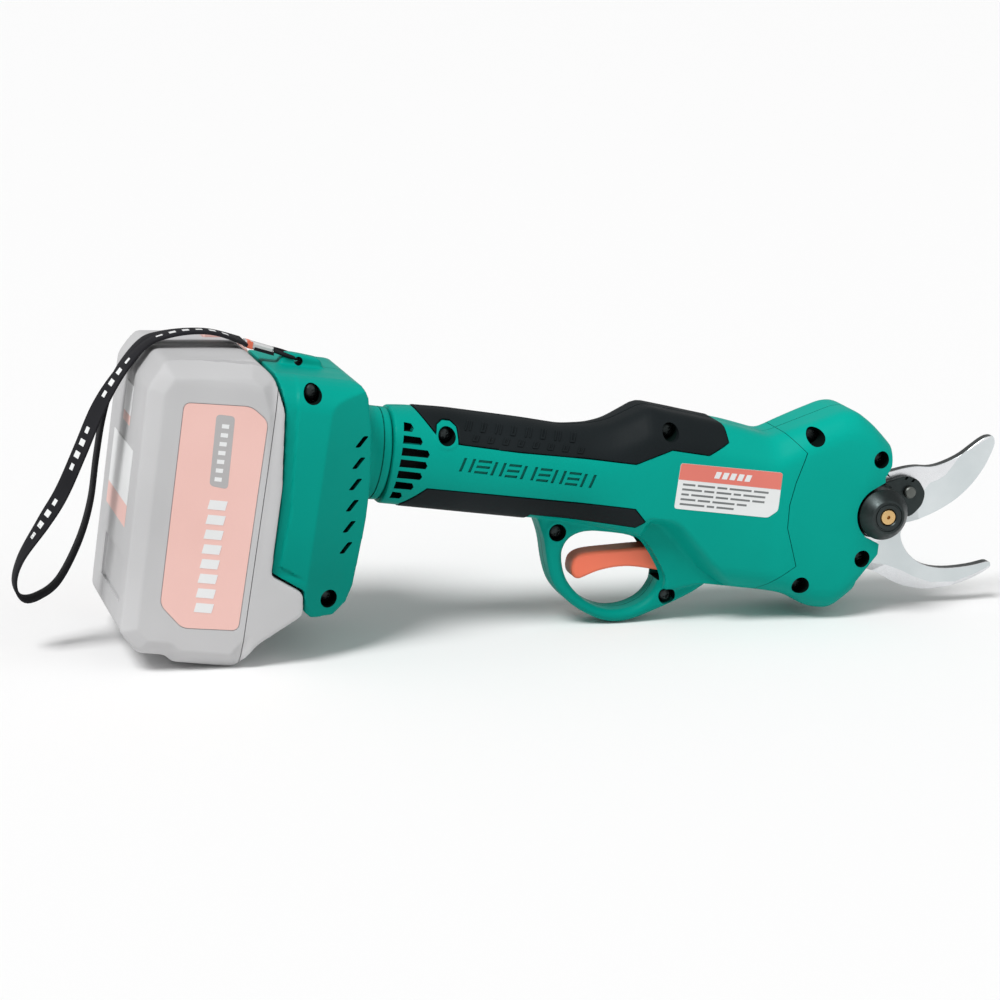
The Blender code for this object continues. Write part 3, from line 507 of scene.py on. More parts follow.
def moulded(name, dark, light, roughness, grain=2600, strength=0.10, specular=0.12, painted_light_rise=None):
    """Moulded plastic: a slow drift of shade, a fine spark-eroded grain and uneven gloss. When a rise direction is
    given, painted light is added too: the colour gets lighter along that direction and darker the other way.
    """
    made, nodes, links, shader = material(name)
    drift = object_noise(nodes, links, 24, 2.0)
    if painted_light_rise:
        drift = painted_top_light(nodes, links, drift, painted_light_rise)
    links.new(ramp(nodes, links, drift, [(0.3, dark), (0.7, light)]), shader.inputs["Base Color"])
    fine = object_noise(nodes, links, grain, 2.0)
    gloss = object_noise(nodes, links, 90, 3.0)
    links.new(ramp(nodes, links, gloss, [(0.3, grey(roughness - 0.04)), (0.7, grey(roughness + 0.05))]),
              shader.inputs["Roughness"])
    bump(nodes, links, shader, fine, strength, 0.0001)
    shader.inputs["Specular IOR Level"].default_value = specular
    return made


def steel(name, dark, light, roughness, stretch, strength=0.05):
    """Ground steel with fine scratches along one direction."""
    made, nodes, links, shader = material(name)
    shader.inputs["Metallic"].default_value = 1.0
    scratches = object_noise(nodes, links, 900, 4.0, stretch)
    drift = object_noise(nodes, links, 40, 3.0)
    links.new(ramp(nodes, links, drift, [(0.3, dark), (0.7, light)]), shader.inputs["Base Color"])
    links.new(ramp(nodes, links, scratches, [(0.3, grey(roughness - 0.06)), (0.7, grey(roughness + 0.10))]),
              shader.inputs["Roughness"])
    bump(nodes, links, shader, scratches, strength, 0.00005)
    return made


# Painted light: this green gets lighter towards the top and darker lower down, a painted gradient of light falling
# from above.
GREEN = moulded("green_moulding", (0.000, 0.240, 0.192), (0.001, 0.395, 0.315), 0.40, specular=0.05,
                painted_light_rise=(0.96, 0, 3.19))
# Painted shade: a darker green for faces just under the outer skin, such as engraving floors and the tops of well
# walls, where shade falls.
GREEN_PAINTED_SHADE = moulded("green_painted_shade_in_recesses", (0.000, 0.130, 0.105), (0.001, 0.150, 0.120), 0.5)
RUBBER = moulded("grip_rubber", (0.007, 0.010, 0.011), (0.012, 0.016, 0.018), 0.55, 1500, 0.35, 0.09)
ORANGE = moulded("orange_moulding", (0.88, 0.190, 0.110), (0.95, 0.220, 0.130), 0.38, 2600, 0.05)
PACK_GREY = moulded("pack_moulding", (0.49, 0.49, 0.495), (0.54, 0.54, 0.545), 0.50, 2200, 0.10)
DARK = moulded("dark_moulding", (0.008, 0.009, 0.010), (0.014, 0.015, 0.016), 0.55)
BLADE_STEEL = steel("blade_steel", (0.78, 0.79, 0.81), (0.88, 0.89, 0.90), 0.30, (1, 1, 14))
BEVEL_STEEL = steel("bevel_steel", (0.63, 0.68, 0.69), (0.73, 0.77, 0.78), 0.34, (14, 1, 1))
BLACKENED = steel("blackened_steel", (0.034, 0.042, 0.042), (0.052, 0.062, 0.062), 0.40, (1, 1, 1))
BRIGHT = steel("bright_steel", (0.50, 0.50, 0.49), (0.62, 0.62, 0.61), 0.32, (1, 6, 1))
BRASS = steel("turned_brass", (0.62, 0.40, 0.17), (0.74, 0.50, 0.23), 0.28, (1, 1, 1))
COPPER = steel("wound_copper", (0.52, 0.20, 0.10), (0.70, 0.30, 0.16), 0.36, (1, 8, 1))
BOARD = moulded("coated_board", (0.004, 0.070, 0.030), (0.010, 0.100, 0.045), 0.35)
CELL_WRAP = moulded("cell_wrap", (0.050, 0.220, 0.140), (0.070, 0.270, 0.180), 0.35)

DULL_STEEL = steel("dull_steel", (0.13, 0.14, 0.13), (0.17, 0.18, 0.17), 0.45, (1, 1, 1))
EDGE_STEEL = steel("edge_steel", (0.10, 0.11, 0.11), (0.18, 0.19, 0.19), 0.35, (1, 1, 1))
# Painted shadow: near black for faces deep inside the shells, such as wells, hollow and vent walls, where the real
# moulding is the same green.
INSIDE_PAINTED_SHADOW = moulded("shadowed_inside", (0.001, 0.006, 0.005), (0.002, 0.010, 0.008), 0.7)
PACK_SALMON = moulded("pack_salmon", (0.80, 0.50, 0.45), (0.84, 0.54, 0.49), 0.45, 900, 0.03)
PACK_PLATE = moulded("pack_plate", (0.42, 0.41, 0.41), (0.46, 0.45, 0.45), 0.45, 900, 0.03)
LABEL_WHITE = moulded("label_white", (0.74, 0.75, 0.75), (0.80, 0.81, 0.81), 0.35, 900, 0.03)
LABEL_RED = moulded("label_red", (0.70, 0.19, 0.150), (0.78, 0.22, 0.175), 0.35, 900, 0.03)
PRINT_GREY = moulded("print_grey", (0.16, 0.17, 0.17), (0.24, 0.25, 0.25), 0.5, 900, 0.03)
WEBBING = moulded("woven_webbing", (0.010, 0.010, 0.012), (0.022, 0.022, 0.025), 0.75, 900, 0.6)
CLEAR = moulded("clear_sleeve", (0.55, 0.55, 0.55), (0.70, 0.70, 0.70), 0.15, 400, 0.05)

CARRIED = {
    "dark_steel": BLACKENED, "bright_steel": BRIGHT, "brass": BRASS, "copper": COPPER,
    "dark_plastic": DARK, "circuit_board": BOARD, "cell_wrap": CELL_WRAP, "pack_plastic": PACK_GREY,
    "green_plastic": GREEN, "black_rubber": RUBBER, "orange_plastic": ORANGE,
    "blade_steel": BLADE_STEEL,
}


def paint_carried_nodes():
    """Give every CAD node a finished material in place of its plain one."""
    slots = {part["node"]: part["material_slot"] for part in frame["record"]["subparts"]}
    for name, node in frame["nodes"].items():
        finish = CARRIED.get(slots.get(name, ""), PACK_GREY)
        for index in range(len(node.material_slots)):
            node.material_slots[index].material = finish


# ---- grip, body and head

def reach_to_outline(outline, turns):
    """How far each direction runs from the origin before it meets a closed outline around it."""
    ahead = np.roll(outline, -1, axis=0) - outline
    ways = np.stack([np.cos(turns), np.sin(turns)], axis=1)
    across = ways[:, None, 0] * ahead[None, :, 1] - ways[:, None, 1] * ahead[None, :, 0]
    across = np.where(np.abs(across) < 1e-9, 1e-9, across)
    distance = (outline[:, 0] * ahead[:, 1] - outline[:, 1] * ahead[:, 0])[None, :] / across
    share = (outline[None, :, 0] * ways[:, None, 1] - outline[None, :, 1] * ways[:, None, 0]) / across
    met = (share > -1e-6) & (share < 1 + 1e-6) & (distance > 0)
    return np.where(met, distance, 1e9).min(axis=1)


def section(x, inset):
    """One cross-section at x: round on the grip, with flat sides and bevelled corners on the body."""
    top, bottom, half = TOP.at(x) - inset, BOTTOM.at(x) + inset, HALF_WIDTH.at(x) - inset
    middle, tall = (top + bottom) / 2, (top - bottom) / 2
    across, down, low = TOP_BEVEL_ACROSS.at(x), TOP_BEVEL_DOWN.at(x), BOTTOM_BEVEL.at(x)
    down, low = min(down, tall * 0.8), min(low, tall * 0.8)
    corners = [
        (half, top - down), (half - across, top), (across - half, top), (-half, top - down),
        (-half, bottom + low), (low - half, bottom), (half - low, bottom), (half, bottom + low)]
    faceting = FACETING.at(x)
    turns = np.linspace(-math.pi, math.pi, RING_COUNT, endpoint=False) + 0.01
    faceted_reach = reach_to_outline(np.array(eased(corners, 4.0, 5)) - (0, middle), turns)
    power = 2.25
    fullness = np.abs(np.cos(turns) / half) ** power + np.abs(np.sin(turns) / tall) ** power
    round_reach = fullness ** (-1 / power)
    reach = faceted_reach * faceting + round_reach * (1 - faceting)
    return [(x, r * math.cos(t), middle + r * math.sin(t)) for r, t in zip(reach, turns)]


def body_form(name, inset=0.0, start=BODY_START, end=BODY_END, pitch=2.0):
    """Grip, body and head in one solid, its surface moved inwards by the inset."""
    count = int((end - start) / pitch)
    spots = [start + (end - start) * step / count for step in range(count + 1)]
    return stacked(name, [section(x, inset) for x in spots])


def flared_opening():
    """The finger opening, wider at both faces of the guard than in its middle."""
    tight = eased(GUARD_OPENING, 8)
    wide = inset_outline(tight, -1.6)
    rings = [[(x, y, z) for x, z in points] for points, y in (
        (wide, -30), (wide, -GUARD_HALF_WIDTH - 0.6), (tight, -GUARD_HALF_WIDTH + 1.2),
        (tight, GUARD_HALF_WIDTH - 1.2), (wide, GUARD_HALF_WIDTH + 0.6), (wide, 30))]
    return stacked("opening", rings)


def trigger_cheeks():
    """The narrower web between the guard and the body, round the trigger's pivot."""
    outline = eased([(-94, -19), (-86, -30), (-80, -41), (-60, -34), (-66, -20), (-80, -14)], 4)
    return bevelled_prism("cheek", outline, WEB_HALF_WIDTH, 1.0)


def web_slope(x, z):
    """How far the body's side steps down, along a slanted line, to the web over the trigger."""
    (start_x, start_z), (end_x, end_z) = WEB_LINE
    run, rise = end_x - start_x, end_z - start_z
    beyond = ((x - start_x) * rise - (z - start_z) * run) / math.hypot(run, rise)
    depth = BODY_SIDE - WEB_HALF_WIDTH
    return depth * eased_step(beyond, -7.6, -0.6) * eased_step(x, -96, -90) * eased_step(-z, 10, 14.5)


def side_relief(x, z):
    """The step down to the web, less the raised rims round the screw wells."""
    rims = np.zeros(len(x))
    for sx, sz, _, _ in HOUSING_SCREWS[:1] + HOUSING_SCREWS[2:]:
        away = np.hypot(x - sx, z - sz)
        rims = np.maximum(rims, 0.35 * np.exp(-((away - 4.2) / 0.6) ** 2))
    return web_slope(x, z) - rims


def slanted_bar(x, z, length, height, lean=0.28):
    """The outline of a bar from x onwards, centred on z, its ends leaning forwards."""
    shift = lean * height / 2
    return [(x - shift, z - height / 2), (x + length - shift, z - height / 2),
            (x + length + shift, z + height / 2), (x + shift, z + height / 2)]


def engraving():
    """A row of slanted bars sunk into the grip's right side, in place of a moulded word."""
    outlines, x = [], ENGRAVING_START[0]
    for number, length in enumerate(ENGRAVING_BARS):
        middle = ENGRAVING_START[1] - 0.028 * (x - ENGRAVING_START[0])
        if number % 2:
            outlines += [slanted_bar(x + 0.28 * lift, middle + lift, length, 1.0)
                         for lift in (-2.1, 0, 2.1)]
        else:
            outlines += [slanted_bar(x + shift, middle, 1.1, 5.2) for shift in (0, length - 1.1)]
        x += length + 1.2
    return cut(many_prisms("engraving", outlines, -30, -5), body_form("core", 0.6))


def paint_shade_inside(item, skin):
    """Painted shade: what lies just under the outer skin gets the second material, a darker green, and what lies
    deeper gets the third, a painted shadow that is nearly black.
    """
    tree = BVHTree.FromObject(skin, bpy.context.evaluated_depsgraph_get())
    for polygon in item.data.polygons:
        _, _, _, depth = tree.find_nearest(polygon.center, 1.1)
        polygon.material_index = 2 if depth is None or depth > 0.95 else 1 if depth > 0.22 else 0


def body_cutters():
    """The hollow and louvres of the body."""
    hollow = soften(body_form("hollow", WALL, -194, 9.0, 4.0), 1.3, 1)
    sink_sides(hollow, web_slope, WEB_HALF_WIDTH - WALL)
    cut(hollow, *[rod("boss", 4.6, -40, -5, spot[:2]) for spot in HOUSING_SCREWS[:2] + HEAD_SCREWS])
    cutters = [hollow]
    right_edges = [-189.7, -186.2, -183.1, -183.4, -184.7, -187.0, -190.2]
    for row, right_edge in enumerate(right_edges):
        low = 12.2 - 4.3 * row
        outline = [(-193.6 - 0.18 * row, low), (right_edge - 0.6, low), (right_edge, low + 1.2),
                   (right_edge - 0.9, low + 2.7), (-193.4 - 0.18 * row, low + 2.9)]
        cutters.append(prism("vent", outline, -30, 30))
    return cutters


def screw_holes(spots):
    """A well and a shaft hole for each screw, from (x, z, y under its head, y of its tip)."""
    for x, z, head_y, tip_y in spots:
        yield rod("well", WELL_RADIUS, -60, head_y + 2.3, (x, z))
        yield rod("hole", 1.8, head_y, tip_y + 1, (x, z), sides=20)


def finish_shells(whole, skin, spots, prefix, node_prefix):
    """Split a form into two shells, sink the right one's screw wells, paint shade and shadow on the insides and
    place both.
    """
    left = copy_of(whole, f"{prefix}_left_shell")
    whole.name = f"{prefix}_right_shell"
    keep(whole, block("side", (-400, -90, -150), (120, -SEAM, 150)))
    keep(left, block("side", (-400, SEAM, -150), (120, 90, 150)))
    cut(whole, *screw_holes(spots))
    for shell, hand in ((whole, "right"), (left, "left")):
        paint_shade_inside(shell, skin)
        place(shell, "handle", f"{node_prefix}_{hand}", GREEN, GREEN_PAINTED_SHADE, INSIDE_PAINTED_SHADOW)


def housing_and_head():
    """The body and guard as one form, parted into housing and head, with room for the grips."""
    whole = body_form("body")
    guard = bevelled_prism("guard", eased(GUARD_OUTER, 8), GUARD_HALF_WIDTH + 0.6, 1.4)
    join(whole, guard, trigger_cheeks())
    cut(whole, flared_opening())
    soften(whole, VOXEL, 5)
    sink_sides(whole, side_relief, WEB_HALF_WIDTH)
    skin = copy_of(whole, "skin")
    cut(whole, engraving(), *body_cutters())
    head = keep(copy_of(whole, "head"), prism("zone", [(x + SEAM, z) for x, z in HEAD_ZONE], -60, 60))
    cut(whole, prism("zone", [(x - SEAM, z) for x, z in HEAD_ZONE], -60, 60),
        block("trigger_way", (-94.5, -5.9, -37), (-74, 5.9, -20.8)),
        rod("wire_hole", 5, -200, -190, (0, 0), "X"))
    core = body_form("core", 1.5)
    for outline in (TOP_GRIP, BOTTOM_GRIP):
        zone = prism("zone", inset_outline(outline, -0.25), -40, 40)
        cut(zone, copy_of(core, "core_copy"))
        cut(whole, zone)
    bpy.data.objects.remove(core)
    finish_shells(whole, skin, HOUSING_SCREWS, "housing", "housing")
    # Painted shade: a dark plug inside the grip behind the vents, so that they look dark inside as with shade, in
    # place of the unmodelled inside.
    place(rod("painted_shade_behind_vents", 11.5, -192.5, -180, (0, 0), "X"), "handle", None, DARK)
    head_shells(head, skin)
    bpy.data.objects.remove(skin)


def head_shells(whole, skin):
    """The head's two covers, open at the front for the blades and round the pivot nut."""
    window = [(0.7, 30), (0.7, 18.8), (-1.4, 14.1), (-1, 12.3)] + arc(11.0, 118, 256, 23)
    window += [(1.1, -12.1), (1.4, -16.2), (-1.6, -20.5), (-6, -27.5), (-6, -60), (30, -60), (30, 30)]
    cut(whole, prism("window", window, -40, -9.4), block("mouth", (-12, -9.7, -27), (30, -0.7, 19)),
        block("sector_room", (-10, -8, -12), (30, 6, 12)), rod("bolt_room", 9.7, -8, 13.8),
        prism("brow", HEAD_BROW, -40, 40))
    finish_shells(whole, skin, HEAD_SCREWS, "head", "head_cover")


def horseshoe(x, z, width, height, open_ended):
    """The outline of a small slanted U, or of two parallel dashes when it's open at both ends."""
    wide, tall, line = width / 2, height / 2, 0.5
    if open_ended:
        shapes = [[(side - line / 2, -tall), (side + line / 2, -tall), (side + line / 2, tall),
                   (side - line / 2, tall)] for side in (-wide, wide)]
    else:
        shapes = [[(-wide, tall), (-wide, -tall), (wide, -tall), (wide, tall), (wide - line, tall),
                   (wide - line, line - tall), (line - wide, line - tall), (line - wide, tall)]]
    return [[(x + a + 0.45 * b, z + b) for a, b in shape] for shape in shapes]


def grip_pattern(low, high):
    """Two staggered rows of raised marks on the top grip."""
    outlines = []
    for number in range(8):
        x = -168.5 + 5.9 * number
        outlines += horseshoe(x, 16.3 - 0.06 * number, 1.7, 3.0, number % 2 == 0)
        outlines += horseshoe(x + 2.6, 12.4 - 0.06 * number, 2.0, 2.1, False)
    marks = many_prisms("marks", outlines, low, high)
    return keep(cut(marks, body_form("core", -0.1)), body_form("skin", -0.72))


def grips():
    """The soft overmoulds, two on each side, standing a little proud of the shells."""
    for hand, span, pattern_span in (("right", (-40, -SEAM), (-30, -8)), ("left", (SEAM, 40), (8, 30))):
        for outline, where in ((TOP_GRIP, "top"), (BOTTOM_GRIP, "bottom")):
            pad = keep(body_form(f"grip_{where}_{hand}_pad", -0.35),
                       prism("zone", inset_outline(outline, 0.1), *span))
            cut(pad, body_form("core", 1.3))
            soften(pad, 0.42, 3)
            if where == "top":
                join(pad, grip_pattern(*pattern_span))
            if (hand, where) == ("right", "top"):
                cut(pad, rod("well", WELL_RADIUS, -40, 0, HOUSING_SCREWS[1][:2]))
            place(pad, "handle", f"grip_{where}_{hand}", RUBBER)


# ---- labels and screws

def info_label():
    """The rating label: a red band over a white field with broken grey bars for its small print."""
    side, band_foot = -BODY_SIDE, 5.6
    outline = eased(INFO_LABEL, 1.2)
    field = prism("info_label_field", outline, side - 0.14, side + 0.3)
    place(field, "handle", "info_label", LABEL_WHITE)
    band = [spot for spot in inset_outline(outline, 0.05) if spot[1] > band_foot]
    band = [(-85.85, band_foot)] + band + [(-44.1, band_foot)]
    place(prism("info_label_band", band, side - 0.2, side - 0.1), "handle", None, LABEL_RED)
    bars = []
    for row, lengths in enumerate(LABEL_PRINT):
        x = -83.8
        for number, length in enumerate(lengths):
            if number % 2 == 0:
                bars.append(slanted_bar(x, 3.9 - 1.9 * row, length, 0.75, 0))
            x += length
    place(many_prisms("info_label_print", bars, side - 0.18, side - 0.1), "handle", None, PRINT_GREY)
    mark = [slanted_bar(-71.5 + 3.1 * number, 8.7, 2.1, 2.6) for number in range(5)]
    place(many_prisms("info_label_mark", mark, side - 0.26, side - 0.18), "handle", None, LABEL_WHITE)


def button_screw(name, x, z, top_y, tip_y):
    """A domed screw with a six-lobed recess."""
    profile = [(1.2, top_y - 0.05), (2.1, top_y + 0.25), (2.75, top_y + 0.8), (2.9, top_y + 1.3),
               (2.9, top_y + 2.0), (1.4, top_y + 2.0), (1.4, tip_y - 1), (0.4, tip_y)]
    head = turned(name, profile, (x, z), sides=40)
    lobes = []
    for a, b in arc(1.0, 0, 352.5, 47):
        radius = 1.25 + 0.25 * math.cos(6 * math.atan2(b, a))
        lobes.append((x + radius * a, z + radius * b))
    return cut(head, prism("recess", lobes, top_y - 3, top_y + 0.9))


def screws():
    for prefix, group in (("housing", HOUSING_SCREWS), ("head", HEAD_SCREWS), ("foot", FOOT_SCREWS)):
        for number, spot in enumerate(group, 1):
            node = f"{prefix}_screw_{number:02d}"
            place(button_screw(f"{node}_visual", *spot), "handle", node, BLACKENED)


# ---- blades and pivot

def bevel_wedge(ridge, edge, face_y, edge_y):
    """What grinding takes away between a ridge line on the face and the cutting edge."""
    rings = []
    for (ridge_x, ridge_z), (edge_x, edge_z) in zip(ridge, edge):
        out_x, out_z = edge_x + 0.25 * (edge_x - ridge_x), edge_z + 0.25 * (edge_z - ridge_z)
        out_y = face_y + 1.25 * (edge_y - face_y)
        rings.append([(ridge_x, face_y, ridge_z), (out_x, out_y, out_z), (out_x, face_y - 4, out_z),
                      (ridge_x, face_y - 4, ridge_z)])
    return stacked("wedge", rings)


def paint_bevels(item):
    """Second material on the bevels of the right side, third on faces that are edge-on."""
    for polygon in item.data.polygons:
        if -0.999 < polygon.normal.y < -0.5:
            polygon.material_index = 1
        elif abs(polygon.normal.y) <= 0.5:
            polygon.material_index = 2


def blades():
    outline = eased(MOVING_BLADE_FREE, 5, 3)[4:-4] + arc(14.0, -30, -292, 40)
    moving = bevelled_prism("moving_blade_visual", outline, 1.85, 0.15, -7.15)
    cut(moving, bevel_wedge(MOVING_RIDGE, MOVING_EDGE, -9.0, -6.0), rod("bore", BORE_RADIUS, -12, -2))
    fixed = bevelled_prism("fixed_blade_visual", eased(FIXED_BLADE, 5, 3), 2.0, 0.15, -3.0)
    cut(fixed, bevel_wedge(FIXED_RIDGE, FIXED_EDGE, -5.0, -3.0), rod("bore", 7.3, -8, 2),
        rod("hole", 2.1, -8, 2, HEAD_SCREWS[3][:2]))
    for blade in (moving, fixed):
        paint_bevels(blade)
    place(moving, "blade", "moving_blade", BLADE_STEEL, BEVEL_STEEL, EDGE_STEEL, angle=12)
    place(fixed, "handle", "fixed_blade", BEVEL_STEEL, BLADE_STEEL, EDGE_STEEL, angle=12)


def pivot():
    """The nut with its grease plug and toothed washer, and the plate that locks it to the blade."""
    nut = [(9.2, -12.3), (10.0, -12.9), (10.0, -19.9), (9.8, -20.3), (7.0, -24.3), (6.5, -24.8),
           (5.7, -24.8), (5.5, -24.4), (5.1, -24.4), (4.9, -24.8), (3.6, -24.8), (3.3, -24.5),
           (3.2, -22.6), (3.1, -22.5)]
    place(turned("pivot_nut_visual", nut, sides=96), "blade", "pivot_nut", BLACKENED, angle=18)
    teeth = []
    for step, (x, z) in enumerate(arc(1.0, 0, 356.25, 95)):
        radius = 10.75 if step % 4 < 2 else 10.35
        teeth.append((radius * x, radius * z))
    place(prism("pivot_washer", teeth, -13.4, -12.35), "blade", None, BLACKENED)
    plug = [(2.0, -20.3), (3.05, -22.4), (3.1, -24.2), (2.8, -24.6), (0.75, -24.65), (0.55, -24.2),
            (0.5, -23.4)]
    place(turned("grease_plug_visual", plug, sides=40), "blade", "grease_plug", BRASS, angle=25)
    lobe = eased(LOCK_PLATE_LOBE + arc(11.0, 84, 350, 30), 2.0, 3)
    plate = bevelled_prism("lock_plate_visual", lobe, 1.35, 0.35, -10.65)
    notches = [slanted_bar(4.0 + 3.0 * step, 14.9 - 0.6 * step, 1.1, 1.2, 0.6) for step in range(4)]
    cut(plate, many_prisms("notches", notches, -13, -10.9), rod("bore", BORE_RADIUS, -14, -8))
    place(plate, "blade", "lock_plate", BLACKENED)
    screw = [(1.2, -14.0), (1.9, -13.9), (2.3, -13.5), (2.3, -12.3), (1.2, -12.3), (1.2, -9.6)]
    place(turned("lock_screw_visual", screw, LOCK_SCREW_AT, sides=40), "blade", "lock_screw", DULL_STEEL)


def trigger():
    lever = bevelled_prism("trigger_visual", eased(TRIGGER_OUTLINE, 5), TRIGGER_HALF_WIDTH, 0.9)
    soften(lever, 0.4, 3)
    cut(lever, rod("bore", 1.7, -10, 10, TRIGGER_PIVOT))
    place(lever, "trigger", "trigger", ORANGE)
    place(rod("trigger_pin_visual", 1.5, -9, 9, TRIGGER_PIVOT), "handle", "trigger_pin", BRIGHT)


# ---- foot

def arched(half, top, base):
    """A front outline on the base points of its left half, closed by broad rounded shoulders."""
    shoulder, fall = 16, 11
    left = base + [(half - shoulder + shoulder * x, top - fall + fall * z) for x, z in arc(1.0, 0, 90, 8)]
    return left + [(-y, z) for y, z in reversed(left)]


def foot_form(name, inset):
    side = prism(name, inset_outline(FOOT_SIDE, inset), -60, 60)
    half = FOOT_HALF_WIDTH - inset
    plan = [(-260, half), (-226.8, half), (-212 - inset, half - 7), (-200, half - 12)]
    plan += [(x, -y) for x, y in reversed(plan)]
    front = arched(half, 30.4 - inset, [(half - 5, -60), (half, -50)])
    keep(side, prism("plan", plan, -90, 60, "Z"))
    return keep(side, prism("front", front, -300, -190, "X"))


def foot_relief(x, z):
    """The strip along the battery sits a step below the rest of the foot's side."""
    line = np.interp(z, [-42.9, -37.7, -18.7, 22.7], [-225.8, -237.8, -236.6, -239.5])
    return 0.9 * eased_step(line - x, -0.5, 0.5) * eased_step(z, -43, -40)


def foot_outside():
    """The foot with its flared neck and the rib on top that carries the strap's eye."""
    whole = foot_form("foot_visual", 0.0)
    flare = [(17.0, -197.3), (17.4, -198), (17.4, -203.5), (18.2, -206), (20.5, -208.5),
             (24.5, -210.3), (24.5, -214)]
    rib = eased([(-241, 27), (-223, 27), (-225.5, 33.4), (-229, 33.9), (-238, 34.6), (-240.5, 33)], 2)
    join(whole, turned("neck", flare, NECK_CENTRE, "X", 72), bevelled_prism("rib", rib, 3.4, 0.8))
    soften(whole, VOXEL, 4)
    sink_sides(whole, foot_relief, 20)
    return whole


def foot():
    whole = foot_outside()
    skin = copy_of(whole, "foot_skin")
    rim = [(16.9, -200.9), (19, -200.9), (19, -200.4), (16.9, -200.4)]
    groove = turned("groove", rim, NECK_CENTRE, "X", 72)
    cut(groove, rod("groove_core", 16.9, -202, -199, NECK_CENTRE, "X"))
    cut(whole, groove, foot_form("hollow", SHELL_HOLLOW),
        rod("neck_bore", 14.5, -214, -196, NECK_CENTRE, "X"),
        block("rail_way", (-260, -33.2, -60), (-226.4, 33.2, 21.6)),
        rod("eye_hole", 1.6, -10, 10, (-234, 32.0)))
    slots = []
    for row in range(6):
        top = 11.6 - 7.9 * row
        slots.append(eased([(-215.4, top - 4.3), (-213.3, top - 4.3), (-210.2, top), (-212.3, top)], 0.7, 3))
    cut(whole, many_prisms("slots", slots, -50, 50))
    finish_shells(whole, skin, FOOT_SCREWS, "foot", "foot")
    bpy.data.objects.remove(skin)


# ---- battery

def pack_form(name, inset):
    half = PACK_HALF_WIDTH - inset
    front = arched(half, 36.0 - inset, [(half - 3, -80), (half, -72)])
    side = prism(name, inset_outline(eased(PACK_SIDE, 2.0, 4), inset), -50, 50)
    return keep(side, prism("front", front, -320, -200, "X"))


def pack_relief(x, z):
    """A chamfer all round the side's outline."""
    edge = -outline_distance(PACK_SIDE, x, z)
    return 3.2 * np.clip((5.5 - edge) / 5.5, 0, 1) * eased_step(-x, 244, 250)


def pack_lid(whole):
    """The side that meets the foot: a step, the rail tower and the two slots for the terminals."""
    lid = keep(copy_of(whole, "pack_lid_visual"), block("lid_side", (PACK_SPLIT, -60, -90), (-200, 60, 60)))
    tower = [(-243, 22), (-235.9, 22), (-235.9, 25.6), (-229.4, 25.6)]
    tower += [(x, -y) for x, y in reversed(tower)]
    join(lid, prism("tower", tower, -50, 20.5, "Z"))
    cut(lid, block("hollow", (-250, -34, -60), (-243.6, 34, 12)))
    for middle in (-8, 8):
        cut(lid, block("slot", (-236, middle - 1.2, -10), (-225, middle + 1.2, 30)))
    return lid


def pack():
    """The battery's case and lid, parted by a thin groove."""
    whole = pack_form("pack_case_visual", 0.0)
    soften(whole, 0.7, 3)
    sink_sides(whole, pack_relief, 30)
    for span in ((-60, 0.4 - PACK_HALF_WIDTH), (PACK_HALF_WIDTH - 0.4, 60)):
        cut(whole, prism("pocket", inset_outline(eased(PACK_LABEL, 2.5), -0.3), *span))
    cut(whole, block("split", (PACK_SPLIT - 0.25, -60, -90), (PACK_SPLIT, 60, 60)))
    lid = pack_lid(whole)
    cut(whole, block("lid_side", (PACK_SPLIT - 0.3, -60, -90), (-200, 60, 60)),
        pack_form("hollow", SHELL_HOLLOW),
        block("release_way", (-254.3, 12.7, 21), (-249.1, 27.3, 60)),
        block("gauge_way", (-266.3, 15.7, 27), (-257.7, 24.3, 60)),
        block("thumb_recess", (-310, -26, -58), (-291.2, 16, -42)))
    for y in range(-24, 13, 9):
        cut(whole, block("rib_slot", (-310, y, -69), (-292.0, y + 1.3, -61)))
    place(whole, "battery", "pack_case", PACK_GREY)
    place(lid, "battery", "pack_lid", PACK_GREY)


def pack_buttons():
    release = [(-254, 24), (-249.4, 24), (-249.4, 31.4), (-254, 34.7)]
    gauge = [(-266, 24), (-258, 24), (-258, 35.6), (-266, 35.9)]
    for node, outline, half_width in (("release_button", release, 7.0), ("gauge_button", gauge, 4.0)):
        button = bevelled_prism(f"{node}_visual", eased(outline, 0.8, 3), half_width, 0.5, BUTTON_MIDDLE)
        place(button, node, node, PACK_SALMON)


def pack_labels():
    """The side labels, with generic bars and marks for their print."""
    plate = eased([(-268.7, 15.5), (-262.0, 15.4), (-261.0, -10.9), (-267.7, -10.2)], 1.6)
    ticks = [slanted_bar(-266.2, 11.5 - 3.2 * row, 2.6, 1.5, 0) for row in range(7)]
    strokes = [slanted_bar(-267.0 + 0.04 * row, -17.0 - 5.4 * row, 6.4, 3.4, 0.15) for row in range(8)]
    for side, hand in ((-1, "right"), (1, "left")):
        label = f"pack_label_{hand}"
        for part, outlines, proud, finish, node in (
                ("field", [eased(PACK_LABEL, 2.5)], -0.05, PACK_SALMON, label),
                ("plate", [plate], 0.0, PACK_PLATE, None),
                ("marks", ticks + strokes, 0.05, LABEL_WHITE, None)):
            outside = PACK_HALF_WIDTH + proud
            span = sorted((side * (outside - 0.35), side * outside))
            place(many_prisms(f"{label}_{part}", outlines, *span), "battery", node, finish)


def rear_stickers():
    """Two white stickers with a coloured foot, on the battery's slightly leaning rear wall."""
    def wall(z):
        return PACK_REAR + PACK_REAR_LEAN * (22 - z)
    for size, span, foot_z, split, top_z in (
            ("small", (-7, 7), 2.5, 6.0, 17), ("large", (-20, 22), -32, -24.0, -4)):
        for part, low, high, finish in (
                ("white", split, top_z, LABEL_WHITE), ("band", foot_z, split, PACK_SALMON)):
            sheet = [(wall(low) - 0.12, low), (wall(low) + 0.5, low), (wall(high) + 0.5, high),
                     (wall(high) - 0.12, high)]
            place(prism(f"rear_sticker_{size}_{part}", sheet, *span), "battery", None, finish)


# ---- wrist strap

